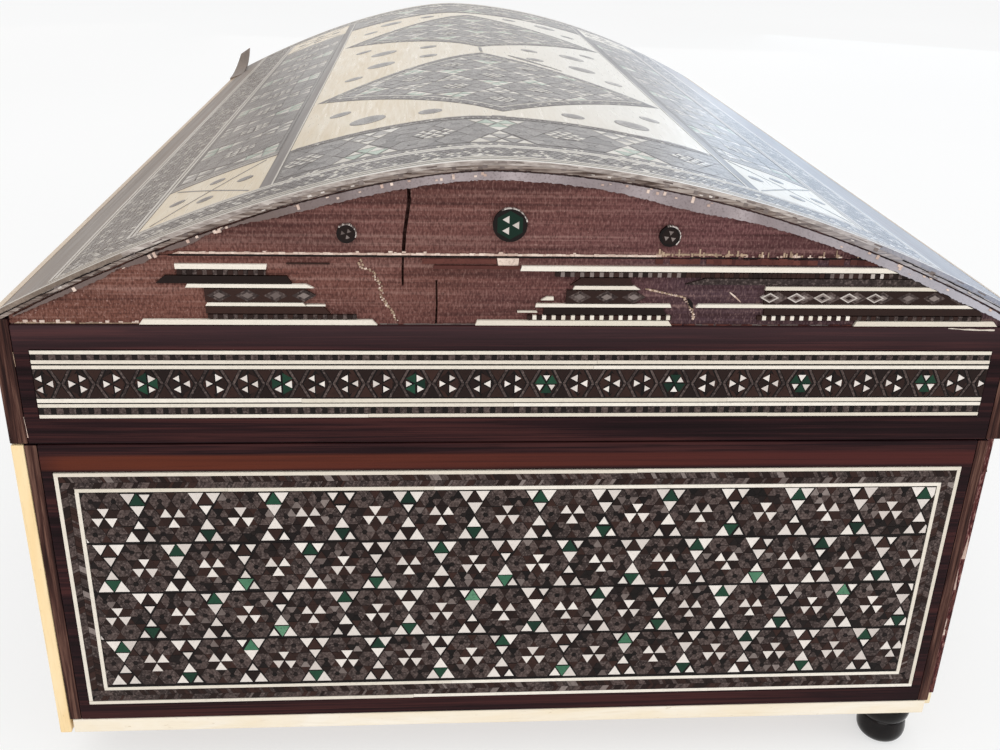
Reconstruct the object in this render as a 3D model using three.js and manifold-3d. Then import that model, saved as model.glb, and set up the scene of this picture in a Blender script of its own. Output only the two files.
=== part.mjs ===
// Inlaid domed box: a work box of dark wood with a loose barrel lid, veneered and inlaid on every face.
// Millimetres. X runs across the narrow end, Y runs along the box from its near end (-Y) to its far
// end (+Y), and Z is up. The origin is on the floor that the feet stand on, under the middle of the box.

import * as THREE from 'three';
import { mergeVertices } from 'three/addons/utils/BufferGeometryUtils.js';
import Module from 'manifold-3d';

const wasm = await Module();
wasm.setup();

// Overall sizes
const boxWidth = 200;
const boxLength = 304;

// Clearances
const glueLine = 0.05; // between glued pieces
const rimSeam = 0.3; // between the rim of the base and the lid

// Feet: turned buns, one of them lost
const footHeight = 10.8;
const footRadius = 5.9; // upper bead
const footLowerRadius = 5.6; // lower bead
const footGrooveRadius = 5;
const footGrooveHeight = 6.4; // above the floor
const soleRadius = 3.2;
const footNeckRadius = 4.6;
const footInsetX = 9.3; // foot axis to the side faces
const footInsetY = 6.4; // foot axis to the end faces
const footSides = 28;
const beadSteps = 6;

// Base carcass
const baseHeight = 71.8; // underside of the walls to the rim
const baseWall = 9;
const baseLap = 5; // width of a side board's end that covers the end board
const floorThickness = 6;
const tongueHeight = 3; // stepped rim that the lid drops over
const tongueClearance = 0.3;
const cornerStripSize = 2.5; // square bone strips let into the upright corners
const bottomStripHeight = 3.6;
const bottomStripDepth = 3;
const bottomStripEndGap = 0.55; // open joint beside a corner strip

// Inlaid panels on the four faces of the base
const inlayDepth = 0.8; // thickness of every inlaid skin
const lineWidth = 0.8;
const borderBandWidth = 2.8;
const panelSideMargin = 7.3; // corner of the box to the outer line
const panelBottomMargin = 7.9;
const panelTopMargin = 6.15;

// Lid walls
const lidWall = 6;
const lidLap = 3.5; // width of a side rail's end that covers the end rail
const sideRailHeight = 26;
const endRailHeight = 24.8;
const friezeSideMargin = 6.5;
const friezeBottomMargin = 5.5;
const friezeHeight = 14.3;

// Tympanum: the arched end boards, bare where their veneer is lost
const jointHeight = 13.6; // top of the end rail to the joint between the two boards
const rosetteCentreX = -3.8;
const rosetteSpacing = 30;
const middleRosetteRadius = 3.2;
const sideRosetteRadius = 1.7;
const middleRosetteRise = 6.4; // joint to the centre of the disc
const sideRosetteRise = 4.5;
const rosetteSides = 24;

// Dome
const eaveRise = 0.8; // top of the side rails to the dome's outer edge
const domeRise = 30;
const crownOffset = -7.6; // the crown sits left of the middle
const domePowerLeft = 1.6; // fullness of the left haunch
const domePowerRight = 1.85;
const domeBoardThickness = 4.5;
const domeLapThickness = 0.9; // the board is thinned where it lies on the end boards
const edgingWidth = 1.75; // strip that follows the arch on each end
const edgingGap = 0.2;
const archSteps = 40;

// Layout of the dome's veneer, measured in plan
const domeFrameWidthY = 12.2;
const domeCornerPanelLength = 29.6;
const domeBandWidth = 2.8;
const domeFrameWidth = { left: 25.5, right: 33 }; // the crown's side has the wider field
const domeSidePanelWidth = { left: 23.4, right: 20.6 };

// Levels and limits that follow
const halfWidth = boxWidth / 2;
const halfLength = boxLength / 2;
const rimZ = footHeight + baseHeight;
const lidZ = rimZ + rimSeam;
const endRailTopZ = lidZ + endRailHeight;
const jointZ = endRailTopZ + jointHeight;
const sideRailTopZ = lidZ + sideRailHeight;
const eaveZ = sideRailTopZ + eaveRise;
const domeBoardDepth = inlayDepth + glueLine; // below the dome's surface
const tympanumDepth = domeBoardDepth + domeLapThickness + glueLine;

// Materials
function paint(color, roughness, metalness = 0) {
  return () => new THREE.MeshStandardMaterial({ color, roughness, metalness });
}
const rosewood = paint(0x3e2626, 0.45);
const sandalwood = paint(0x734137, 0.7);
const paleWood = paint(0x8a6a4a, 0.75);
const bone = paint(0xebd9b0, 0.45);
const ivoryLine = paint(0xefe5d8, 0.4);
const ebony = paint(0x17110f, 0.2);
const darkMosaic = paint(0x4a4544, 0.4);
const starMosaic = paint(0x8d847c, 0.4);
const pewter = paint(0x8c8a92, 0.35, 0.5);

// Solids

function toSolid(geometry) {
  geometry.deleteAttribute('normal');
  geometry.deleteAttribute('uv');
  const merged = mergeVertices(geometry, 1e-5);
  return new wasm.Manifold(new wasm.Mesh({
    numProp: 3,
    vertProperties: new Float32Array(merged.attributes.position.array),
    triVerts: new Uint32Array(merged.index.array),
  }));
}

function toGeometry(solid) {
  const mesh = solid.getMesh();
  const geometry = new THREE.BufferGeometry();
  geometry.setAttribute('position', new THREE.BufferAttribute(new Float32Array(mesh.vertProperties), 3));
  geometry.setIndex(new THREE.BufferAttribute(new Uint32Array(mesh.triVerts), 1));
  geometry.computeVertexNormals();
  return geometry;
}

function block([x0, x1], [y0, y1], [z0, z1]) {
  const geometry = new THREE.BoxGeometry(Math.abs(x1 - x0), Math.abs(y1 - y0), Math.abs(z1 - z0));
  geometry.translate((x0 + x1) / 2, (y0 + y1) / 2, (z0 + z1) / 2);
  return toSolid(geometry);
}

function carve(solid, cutters) {
  return cutters.reduce((rest, cutter) => rest.subtract(cutter), solid);
}

// An outline in X and Z, pushed along Y
function slab(outline, [y0, y1]) {
  const shape = new THREE.Shape(outline.map(([x, z]) => new THREE.Vector2(x, z)));
  const geometry = new THREE.ExtrudeGeometry(shape, { depth: y1 - y0, bevelEnabled: false });
  geometry.rotateX(Math.PI / 2);
  geometry.translate(0, y1, 0);
  return toSolid(geometry);
}

// The four upright faces. "across" runs to the right for someone facing the box, "depth" runs inward.
const faces = {
  near: { halfRun: halfWidth, place: (across, depth) => [across, depth - halfLength] },
  right: { halfRun: halfLength, place: (across, depth) => [halfWidth - depth, across] },
  far: { halfRun: halfWidth, place: (across, depth) => [-across, halfLength - depth] },
  left: { halfRun: halfLength, place: (across, depth) => [depth - halfWidth, -across] },
};

function faceBlock(face, [across0, across1], [depth0, depth1], heights) {
  const [xa, ya] = face.place(across0, depth0);
  const [xb, yb] = face.place(across1, depth1);
  return block([xa, xb], [ya, yb], heights);
}

// A rectangle on a face: how far it reaches each way from the middle, and its two heights
function shrink(rectangle, by) {
  return { reach: rectangle.reach - by, low: rectangle.low + by, high: rectangle.high - by };
}

function facePlate(face, rectangle, depths) {
  return faceBlock(face, [-rectangle.reach, rectangle.reach], depths, [rectangle.low, rectangle.high]);
}

function faceRing(face, outer, width, thickness) {
  const opening = facePlate(face, shrink(outer, width), [-1, thickness + 1]);
  return facePlate(face, outer, [0, thickness]).subtract(opening);
}

function facePocket(face, rectangle) {
  return facePlate(face, shrink(rectangle, -glueLine), [-1, inlayDepth + glueLine]);
}

const box = new THREE.Group();
box.name = 'inlaid_domed_box';

function add(name, solid, material) {
  const mesh = new THREE.Mesh(toGeometry(solid), material());
  mesh.name = name;
  box.add(mesh);
}

// Places along the width and the length

const corners = [
  { name: 'near_left', x: -1, y: -1 },
  { name: 'near_right', x: 1, y: -1 },
  { name: 'far_left', x: -1, y: 1 },
  { name: 'far_right', x: 1, y: 1 },
];
const ends = [{ name: 'near', y: -1 }, { name: 'far', y: 1 }];
const sides = [{ name: 'left', x: -1 }, { name: 'right', x: 1 }];

// Base

function panelRectangle(face) {
  return {
    reach: face.halfRun - panelSideMargin,
    low: footHeight + panelBottomMargin,
    high: rimZ - panelTopMargin,
  };
}

function cornerRebate({ x, y }) {
  const size = cornerStripSize + glueLine;
  return block(
    [x * (halfWidth - size), x * (halfWidth + 1)],
    [y * (halfLength - size), y * (halfLength + 1)],
    [footHeight - 1, rimZ + 1],
  );
}

const bottomRebateLow = footHeight - 1;
const bottomRebateHigh = footHeight + bottomStripHeight + glueLine;

function bottomRebate(face) {
  const depth = bottomStripDepth + glueLine;
  return faceBlock(face, [-face.halfRun - 1, face.halfRun + 1], [-1, depth], [bottomRebateLow, bottomRebateHigh]);
}

const baseCutters = [
  ...corners.map(cornerRebate),
  ...Object.values(faces).map(bottomRebate),
  ...Object.values(faces).map((face) => facePocket(face, panelRectangle(face))),
];

const tongueDepth = lidWall + tongueClearance;
const tongueHeights = [rimZ - 1, rimZ + tongueHeight];

function buildBase() {
  const endReach = halfWidth - baseLap - glueLine;
  const innerReachX = halfWidth - baseWall;
  const innerReachY = halfLength - baseWall;
  for (const end of ends) {
    const face = faces[end.name];
    const board = faceBlock(face, [-endReach, endReach], [0, baseWall], [footHeight, rimZ]);
    const tongueReach = innerReachX - glueLine;
    const tongue = faceBlock(face, [-tongueReach, tongueReach], [tongueDepth, baseWall], tongueHeights);
    add(`base_end_board_${end.name}`, carve(board.add(tongue), baseCutters), rosewood);
  }
  for (const side of sides) {
    const face = faces[side.name];
    const board = faceBlock(face, [-halfLength, halfLength], [0, baseWall], [footHeight, rimZ]);
    const tongueReach = halfLength - tongueDepth;
    const tongue = faceBlock(face, [-tongueReach, tongueReach], [tongueDepth, baseWall], tongueHeights);
    const housings = ends.map(({ y }) => block(
      [side.x * (innerReachX - 1), side.x * (halfWidth - baseLap)],
      [y * (innerReachY - glueLine), y * (halfLength + 1)],
      [footHeight - 1, rimZ + tongueHeight + 1],
    ));
    add(`base_side_board_${side.name}`, carve(board.add(tongue), [...baseCutters, ...housings]), rosewood);
  }
  const floorX = innerReachX - glueLine;
  const floorY = innerReachY - glueLine;
  const floor = block([-floorX, floorX], [-floorY, floorY], [footHeight, footHeight + floorThickness]);
  add('base_floor', floor, paleWood);
}

// The near right strip is lost, so that corner is left bare
function buildCornerStrips() {
  for (const { name, x, y } of corners.filter((corner) => corner.name !== 'near_right')) {
    const strip = block(
      [x * (halfWidth - cornerStripSize), x * halfWidth],
      [y * (halfLength - cornerStripSize), y * halfLength],
      [footHeight, rimZ],
    );
    add(`corner_strip_${name}`, strip, bone);
  }
}

// The end strips run between the side strips, and the side strips between the corner strips
function buildBottomStrips() {
  const heights = [footHeight, footHeight + bottomStripHeight];
  const endReach = halfWidth - cornerStripSize - bottomStripEndGap;
  const sideReach = halfLength - bottomStripDepth - glueLine;
  for (const end of ends) {
    add(`bottom_strip_${end.name}`,
      faceBlock(faces[end.name], [-endReach, endReach], [0, bottomStripDepth], heights), bone);
  }
  for (const side of sides) {
    add(`bottom_strip_${side.name}`,
      faceBlock(faces[side.name], [-sideReach, sideReach], [0, bottomStripDepth], heights), bone);
  }
}

function buildPanels() {
  for (const [name, face] of Object.entries(faces)) {
    const outerLine = panelRectangle(face);
    const borderBand = shrink(outerLine, lineWidth + glueLine);
    const innerLine = shrink(borderBand, borderBandWidth);
    const field = shrink(innerLine, lineWidth + glueLine);
    add(`outer_line_${name}`, faceRing(face, outerLine, lineWidth, inlayDepth), ivoryLine);
    add(`border_band_${name}`, faceRing(face, borderBand, borderBandWidth - glueLine, inlayDepth), darkMosaic);
    add(`inner_line_${name}`, faceRing(face, innerLine, lineWidth, inlayDepth), ivoryLine);
    add(`star_mosaic_${name}`, facePlate(face, field, [0, inlayDepth]), starMosaic);
  }
}

// Feet

// Half-round bead of a turned profile, from one radius at its foot to another at its top
function bead(lowZ, highZ, lowRadius, highRadius, beadRadius) {
  const points = [];
  for (let step = 0; step <= beadSteps; step += 1) {
    const share = step / beadSteps;
    const edge = lowRadius + (highRadius - lowRadius) * share;
    const swell = Math.sqrt(Math.max(0, 1 - (2 * share - 1) ** 2));
    points.push([edge + (beadRadius - edge) * swell, lowZ + (highZ - lowZ) * share]);
  }
  return points;
}

function buildFeet() {
  const topZ = footHeight - glueLine;
  const profile = [
    [0, 0],
    ...bead(0, footGrooveHeight, soleRadius, footGrooveRadius, footLowerRadius),
    ...bead(footGrooveHeight, topZ, footGrooveRadius, footNeckRadius, footRadius).slice(1),
    [0, topZ],
  ];
  const outline = profile.map(([radius, z]) => new THREE.Vector2(radius, z));
  for (const { name, x, y } of corners.filter((corner) => corner.name !== 'near_left')) {
    const geometry = new THREE.LatheGeometry(outline, footSides);
    geometry.rotateX(Math.PI / 2);
    geometry.translate(x * (halfWidth - footInsetX), y * (halfLength - footInsetY), 0);
    add(`foot_${name}`, toSolid(geometry), ebony);
  }
}

// Lid walls

function friezeRectangle(face) {
  const low = lidZ + friezeBottomMargin;
  return { reach: face.halfRun - friezeSideMargin, low, high: low + friezeHeight };
}

function buildLidWalls() {
  const friezePockets = Object.values(faces).map((face) => facePocket(face, friezeRectangle(face)));
  const endReach = halfWidth - lidLap - glueLine;
  for (const end of ends) {
    const rail = faceBlock(faces[end.name], [-endReach, endReach], [0, lidWall], [lidZ, endRailTopZ]);
    add(`lid_end_rail_${end.name}`, carve(rail, friezePockets), rosewood);
  }
  for (const side of sides) {
    const face = faces[side.name];
    const rail = faceBlock(face, [-halfLength, halfLength], [0, lidWall], [lidZ, sideRailTopZ]);
    const housings = ends.map(({ y }) => block(
      [side.x * (halfWidth - lidWall - 1), side.x * (halfWidth - lidLap)],
      [y * (halfLength - lidWall - glueLine), y * (halfLength + 1)],
      [lidZ - 1, sideRailTopZ + 1],
    ));
    add(`lid_side_rail_${side.name}`, carve(rail, [...friezePockets, ...housings]), rosewood);
  }
  for (const [name, face] of Object.entries(faces)) {
    add(`frieze_inlay_${name}`, facePlate(face, friezeRectangle(face), [0, inlayDepth]), starMosaic);
  }
}

// Dome

// Reach from the crown to the eave on the side where x lies
function domeReach(x) {
  return x < crownOffset ? halfWidth + crownOffset : halfWidth - crownOffset;
}

// Point of the arch at x, moved inward by depth along the surface's normal
function archPoint(x, depth) {
  const reach = domeReach(x);
  const power = x < crownOffset ? domePowerLeft : domePowerRight;
  const share = Math.abs(x - crownOffset) / reach;
  const z = eaveZ + domeRise * (1 - share ** power);
  const fall = (domeRise * power * share ** (power - 1)) / reach;
  const slope = x < crownOffset ? fall : -fall;
  const stretch = Math.hypot(1, slope);
  return [x + (depth * slope) / stretch, z - depth / stretch];
}

const archStations = Array.from(
  { length: archSteps + 1 },
  (_, step) => -halfWidth + (boxWidth * step) / archSteps,
);

// Curved plate of the arch between two widths and two depths
function archPlate([x0, x1], [depth0, depth1], lengths) {
  const between = archStations.filter((x) => x > x0 + glueLine && x < x1 - glueLine);
  const stations = [x0, ...between, x1];
  const upper = stations.map((x) => archPoint(x, depth0));
  const lower = stations.map((x) => archPoint(x, depth1)).reverse();
  return slab([...upper, ...lower], lengths);
}

const wholeWidth = [-halfWidth, halfWidth];
const wholeLength = [-halfLength, halfLength];

function buildDomeBoard() {
  const innerLength = halfLength - lidWall - glueLine;
  const lap = archPlate(wholeWidth, [domeBoardDepth, domeBoardDepth + domeLapThickness], wholeLength);
  const core = archPlate(
    wholeWidth,
    [domeBoardDepth, domeBoardDepth + domeBoardThickness],
    [-innerLength, innerLength],
  );
  const belowRails = block(
    [-halfWidth - 1, halfWidth + 1],
    [-halfLength - 1, halfLength + 1],
    [lidZ, sideRailTopZ + glueLine],
  );
  add('dome_board', lap.add(core).subtract(belowRails), paleWood);
}

function underArch(depth, lengths) {
  const arch = archStations.map((x) => archPoint(x, depth));
  return slab([...arch, [halfWidth, lidZ], [-halfWidth, lidZ]], lengths);
}

// The near tympanum is two boards, one above the other, and the far one is a single board
function buildTympanums() {
  const reach = halfWidth - lidLap - glueLine;
  const lowZ = endRailTopZ + glueLine;
  const crownZ = eaveZ + domeRise;
  const nearLengths = [-halfLength + inlayDepth, -halfLength + lidWall];
  const farLengths = [halfLength - lidWall, halfLength - inlayDepth];
  const boards = [
    { name: 'tympanum_lower_board_near', lengths: nearLengths, heights: [lowZ, jointZ] },
    { name: 'tympanum_upper_board_near', lengths: nearLengths, heights: [jointZ + glueLine, crownZ] },
    { name: 'tympanum_board_far', lengths: farLengths, heights: [lowZ, crownZ] },
  ];
  for (const { name, lengths, heights } of boards) {
    const limits = block([-reach, reach], lengths, heights);
    add(name, underArch(tympanumDepth, lengths).intersect(limits), sandalwood);
  }
}

// The edging lies on the tympanum, just below the dome's edge
function buildArchEdging() {
  const topDepth = tympanumDepth + edgingGap;
  const reach = halfWidth - lidLap - glueLine;
  for (const { name, y } of ends) {
    const outer = y * halfLength;
    const inner = y * (halfLength - inlayDepth + glueLine);
    const lengths = [Math.min(outer, inner), Math.max(outer, inner)];
    const strip = archPlate(wholeWidth, [topDepth, topDepth + edgingWidth], lengths);
    const limits = block([-reach, reach], lengths, [endRailTopZ + glueLine, eaveZ + domeRise]);
    add(`arch_edging_${name}`, strip.intersect(limits), pewter);
  }
}

function buildRosettes() {
  const places = [
    { name: 'left', across: -rosetteSpacing, radius: sideRosetteRadius, rise: sideRosetteRise },
    { name: 'middle', across: 0, radius: middleRosetteRadius, rise: middleRosetteRise },
    { name: 'right', across: rosetteSpacing, radius: sideRosetteRadius, rise: sideRosetteRise },
  ];
  const thickness = inlayDepth - glueLine;
  for (const { name, across, radius, rise } of places) {
    const geometry = new THREE.CylinderGeometry(radius, radius, thickness, rosetteSides);
    geometry.translate(rosetteCentreX + across, thickness / 2 - halfLength, jointZ + rise);
    add(`round_rosette_${name}`, toSolid(geometry), starMosaic);
  }
}

function buildDomeVeneer() {
  const skin = [0, inlayDepth];
  const frameX = (name) => halfWidth - domeFrameWidth[name];
  const fieldX = (name) => frameX(name) - glueLine;
  const bandX = (name) => fieldX(name) - domeSidePanelWidth[name];
  const centreX = (name) => bandX(name) - domeBandWidth;
  const frameY = halfLength - domeFrameWidthY;
  const fieldY = frameY - glueLine;
  const middleY = fieldY - domeCornerPanelLength;
  const window = block([-frameX('left'), frameX('right')], [-frameY, frameY], [eaveZ, eaveZ + domeRise + 1]);
  add('dome_border_frame', archPlate(wholeWidth, skin, wholeLength).subtract(window), darkMosaic);

  const middle = [-middleY + glueLine, middleY - glueLine];
  const stretchOf = (x, high, low) => (x < 0 ? [-high, -low] : [low, high]);
  for (const { name, x } of sides) {
    const sideSpan = stretchOf(x, fieldX(name), bandX(name));
    add(`dome_side_mosaic_${name}`, archPlate(sideSpan, skin, middle), starMosaic);
    const bandSpan = stretchOf(x, bandX(name) - glueLine, centreX(name));
    add(`dome_band_${name}`, archPlate(bandSpan, skin, [-fieldY, fieldY]), ebony);
    for (const end of ends) {
      add(`dome_corner_panel_${end.name}_${name}`,
        archPlate(sideSpan, skin, stretchOf(end.y, fieldY, middleY)), bone);
    }
  }
  const centreSpan = [-centreX('left') + glueLine, centreX('right') - glueLine];
  for (const { name, y } of ends) {
    add(`dome_end_mosaic_${name}`, archPlate(centreSpan, skin, stretchOf(y, fieldY, middleY)), starMosaic);
  }
  add('dome_centre_panel', archPlate(centreSpan, skin, middle), bone);
}

buildBase();
buildCornerStrips();
buildBottomStrips();
buildPanels();
buildFeet();
buildLidWalls();
buildDomeBoard();
buildTympanums();
buildArchEdging();
buildRosettes();
buildDomeVeneer();

export default box;
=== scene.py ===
"""Inlaid domed box: dark wood, bone, star mosaic and worn veneer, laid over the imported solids.

Sizes are in millimetres until a mesh is made. X runs across the narrow end, Y runs away from the near
end and Z is up. On an upright face "u" runs to the right for someone who looks at it, "v" is the
height above the underside of the base, and "w" is the height above the face.
"""

import math

import bmesh
import bpy
import numpy as np
from mathutils import Matrix, Vector


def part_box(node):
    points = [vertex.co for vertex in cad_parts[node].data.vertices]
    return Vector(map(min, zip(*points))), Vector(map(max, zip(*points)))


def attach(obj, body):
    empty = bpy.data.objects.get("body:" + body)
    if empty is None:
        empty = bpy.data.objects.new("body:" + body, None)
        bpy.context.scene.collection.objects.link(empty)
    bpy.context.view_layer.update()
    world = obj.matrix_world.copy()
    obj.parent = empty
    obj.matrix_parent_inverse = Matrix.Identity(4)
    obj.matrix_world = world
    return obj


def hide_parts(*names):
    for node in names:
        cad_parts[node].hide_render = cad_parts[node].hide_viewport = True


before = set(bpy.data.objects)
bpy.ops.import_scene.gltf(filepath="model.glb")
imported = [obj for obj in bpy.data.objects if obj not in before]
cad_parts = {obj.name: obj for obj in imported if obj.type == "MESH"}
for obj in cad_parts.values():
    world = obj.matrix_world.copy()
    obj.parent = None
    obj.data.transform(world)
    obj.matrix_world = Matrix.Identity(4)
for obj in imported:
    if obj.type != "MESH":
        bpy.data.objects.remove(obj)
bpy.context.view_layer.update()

MM = 0.001
ROOT3 = math.sqrt(3)
rng = np.random.default_rng(1897)

# Places that follow from the solids


def node_box(node):
    """Lowest and highest corner of a solid, in millimetres."""
    low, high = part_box(node)
    return np.array(low) / MM, np.array(high) / MM


base_low, base_high = node_box("base_side_board_right")
half_width = base_high[0]
half_length = base_high[1]
base_z = base_low[2]
rail_top_z = node_box("lid_end_rail_near")[1][2]
joint_z = node_box("tympanum_lower_board_near")[1][2]
crown_z = node_box("dome_border_frame")[1][2]
inlay_depth = 0.8
outer_ring = node_box("outer_line_near")
inner_ring = node_box("inner_line_near")
string_width = 0.8
string_room = 0.85  # a string and the joint beside it

# The arch of the dome
dome_rise = 30.0
power_left = 1.6
power_right = 1.85
crown_x = -7.6
eave_z = crown_z - dome_rise
board_lap = 0.9
glue_line = 0.05
tympanum_depth = inlay_depth + board_lap + 2 * glue_line
edging_gap = 0.2
edging_width = 1.75

# Plan of the dome's veneer, from its middle
frame_y = half_length - 12.2
frame_x = {"left": half_width - 25.5, "right": half_width - 33}
band_x = {"left": frame_x["left"] - glue_line - 23.4, "right": frame_x["right"] - glue_line - 20.6}
centre_x = {"left": band_x["left"] - 2.8, "right": band_x["right"] - 2.8}
middle_y = frame_y - glue_line - 29.6

# Camera, from straight lines of the photograph
camera_place = (-19.7, -343.7, 183.0)
camera_pitch = math.radians(23.956)
camera_yaw = math.radians(4.434)
camera_roll = math.radians(1.772)
camera_lens = 38.82
sensor_width = 36.0


def joined(*parts):
    """Arrays side by side: coordinates as points, or corner numbers as faces."""
    return np.stack(np.broadcast_arrays(*parts), -1)


def on_circle(angles, distance):
    """Flat points at angles and a distance from the middle."""
    return distance * joined(np.cos(angles), np.sin(angles))


def arch_point(x, depth):
    """Point of the arch at x, moved inward by depth along the surface's normal: height falls from the
    crown with a power of the distance, each side with its own power and its own reach to the eave."""
    x = np.asarray(x, float)
    reach = np.where(x < crown_x, half_width + crown_x, half_width - crown_x)
    power = np.where(x < crown_x, power_left, power_right)
    share = np.abs(x - crown_x) / reach
    z = eave_z + dome_rise * (1 - share**power)
    fall = dome_rise * power * share ** (power - 1) / reach
    slope = np.where(x < crown_x, fall, -fall)
    stretch = np.hypot(1, slope)
    return x + depth * slope / stretch, z - depth / stretch


def arch_normal(x):
    """Outward normal of the arch at x."""
    here_x, here_z = arch_point(x, 0)
    up_x, up_z = arch_point(x, -1)
    return joined(up_x - here_x, 0, up_z - here_z)


# Places of flat patterns: each takes points (..., 2) and a height above the surface


def on_wall(right, outward, reach):
    """How flat points go onto an upright face: u along "right", v up, and their height along "outward"
    from the plane that lies "reach" from the middle."""
    def place(p, w):
        """Points (..., 2) at heights w above the face."""
        level = [p[..., 0] * r + (reach + w) * o for r, o in zip(right, outward)]
        return joined(*level, base_z + p[..., 1])
    return place


def place_dome(p, w):
    """Plan x and y onto the arch."""
    x, z = arch_point(p[..., 0], -w)
    return joined(x, p[..., 1], z)


faces = {
    "near": on_wall((1, 0), (0, -1), half_length),
    "right": on_wall((0, 1), (1, 0), half_width),
    "far": on_wall((-1, 0), (0, 1), half_length),
    "left": on_wall((0, -1), (-1, 0), half_width),
}
face_reach = {"near": half_width, "right": half_length, "far": half_width, "left": half_length}
# the near tympanum is set back by the veneer it has lost
place_tympanum = on_wall((1, 0), (0, -1), half_length - inlay_depth)

# Meshes


def new_object(name, mesh, replaced=()):
    """Puts a finished mesh in the scene, riding on the box's one body."""
    piece = bpy.data.objects.new(name, mesh)
    bpy.context.scene.collection.objects.link(piece)
    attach(piece, "root")
    if replaced:
        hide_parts(*replaced)
    return piece


def fill_mesh(name, points, sizes, corners, materials, kinds=None, tone=0.5, smooth_angle=None):
    """A mesh from whole arrays: points in millimetres, the number of corners of each face, all corners
    in a row, and for each face the material it takes. "tone" is one number, or one for each point."""
    mesh = bpy.data.meshes.new(name)
    points = np.asarray(points, np.float64).reshape(-1, 3)
    sizes = np.asarray(sizes, np.int32)
    corners = np.asarray(corners, np.int32)
    starts = np.concatenate([[0], np.cumsum(sizes)[:-1]]).astype(np.int32)
    mesh.vertices.add(len(points))
    mesh.vertices.foreach_set("co", (points * MM).astype(np.float32).ravel())
    mesh.loops.add(len(corners))
    mesh.loops.foreach_set("vertex_index", corners)
    mesh.polygons.add(len(sizes))
    mesh.polygons.foreach_set("loop_start", starts)
    mesh.polygons.foreach_set("loop_total", sizes)
    for one in materials:
        mesh.materials.append(one)
    if kinds is not None:
        mesh.polygons.foreach_set("material_index", np.asarray(kinds, np.int32))
    layer = mesh.attributes.new("tone", "FLOAT", "POINT")
    layer.data.foreach_set("value", np.array(np.broadcast_to(tone, len(points)), np.float32))
    smooth = smooth_angle is not None
    mesh.polygons.foreach_set("use_smooth", np.full(len(sizes), smooth))
    mesh.update(calc_edges=True)
    mesh.validate()
    if smooth:
        mesh.set_sharp_from_angle(angle=math.radians(smooth_angle))
    return mesh


def set_material(mesh, material):
    """One material for a whole mesh."""
    mesh.materials.clear()
    mesh.materials.append(material)


def closed_strip(name, lines, material, replaced, tone=0.5, smooth_angle=30):
    """A bar between four lines of points, near top, far top, near low and far low, closed all round."""
    count = len(lines[0])
    a = np.arange(count - 1)
    near_top, far_top, near_low, far_low = (k * count for k in range(4))
    quads = np.concatenate([
        joined(near_top + a, near_top + a + 1, far_top + a + 1, far_top + a),
        joined(near_low + a, far_low + a, far_low + a + 1, near_low + a + 1),
        joined(near_low + a, near_low + a + 1, near_top + a + 1, near_top + a),
        joined(far_low + a, far_top + a, far_top + a + 1, far_low + a + 1),
        np.array([[near_low, near_top, far_top, far_low]]),
        np.array([[near_low, far_low, far_top, near_top]]) + count - 1,
    ])
    mesh = fill_mesh(name, np.concatenate(lines), np.full(len(quads), 4), quads.ravel(), [material],
                     tone=tone, smooth_angle=smooth_angle)
    return new_object(name, mesh, replaced)


# Flat patterns: a batch is [points (n, m, 2), counts, kinds, tone, gap, rise], each row one tile


class Pattern:
    """Collects flat tiles and turns them into closed prisms on a surface."""

    def __init__(self):
        """Starts without tiles."""
        self.batches = []

    def add(self, points, kind, gap=0.05, tone=None, rise=0.0):
        """Convex tiles with the same number of corners, anticlockwise. The gap is half a joint."""
        points = np.asarray(points, float)
        points = points.reshape(-1, points.shape[-2], 2)
        n = len(points)
        tone = rng.random(n) if tone is None else tone
        values = [np.broadcast_to(np.asarray(v, float), (n,)) for v in (kind, tone, gap, rise)]
        self.batches.append([points, np.full(n, points.shape[1]), *values])

    def merge(self, other):
        """Takes in another pattern's tiles."""
        self.batches.extend(other.batches)

    def clipped(self, limits):
        """The part of every tile inside all half planes (nx, ny, d), where nx x + ny y <= d."""
        result = Pattern()
        for points, counts, *values in self.batches:
            for nx, ny, d in limits:
                points, counts = clip(points, counts, (nx, ny), d)
                kept = counts > 2
                points, counts = points[kept], counts[kept]
                values = [v[kept] for v in values]
                if not len(points):
                    break
            if len(points):
                result.batches.append([points, counts, *values])
        return result

    def moved(self, change):
        """The same tiles after a change of their points."""
        result = Pattern()
        result.batches = [[change(b[0]), *b[1:]] for b in self.batches]
        return result


def next_corners(points, counts):
    """Which corners each polygon uses, and the corner that follows each of them."""
    index = np.arange(points.shape[1])
    following = np.where(index + 1 < counts[:, None], index + 1, 0)
    return index < counts[:, None], np.take_along_axis(points, following[..., None], 1)


def clip(points, counts, normal, limit):
    """Cuts convex polygons by one line, all at once: a corner inside stays, and each side that crosses
    the line gives the crossing point, in the polygon's own order."""
    n, m, _ = points.shape
    if n == 0:
        return points, counts
    used, after = next_corners(points, counts)
    here_over = points @ np.array(normal) - limit
    after_over = after @ np.array(normal) - limit
    crosses = used & ((here_over > 0) != (after_over > 0))
    share = np.where(crosses, here_over / np.where(crosses, here_over - after_over, 1), 0)
    crossing = points + share[..., None] * (after - points)
    both = np.stack([crossing, after], 2).reshape(n, 2 * m, 2)
    kept = np.stack([crosses, used & (after_over <= 0)], 2).reshape(n, 2 * m)
    order = np.argsort(~kept, axis=1, kind="stable")
    both = np.take_along_axis(both, order[..., None], 1)
    new_counts = kept.sum(1)
    return both[:, : max(int(new_counts.max()), 3)], new_counts


def box_limits(u0, u1, v0, v1):
    """The four half planes of a rectangle."""
    return [(-1, 0, -u0), (1, 0, u1), (0, -1, -v0), (0, 1, v1)]


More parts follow.
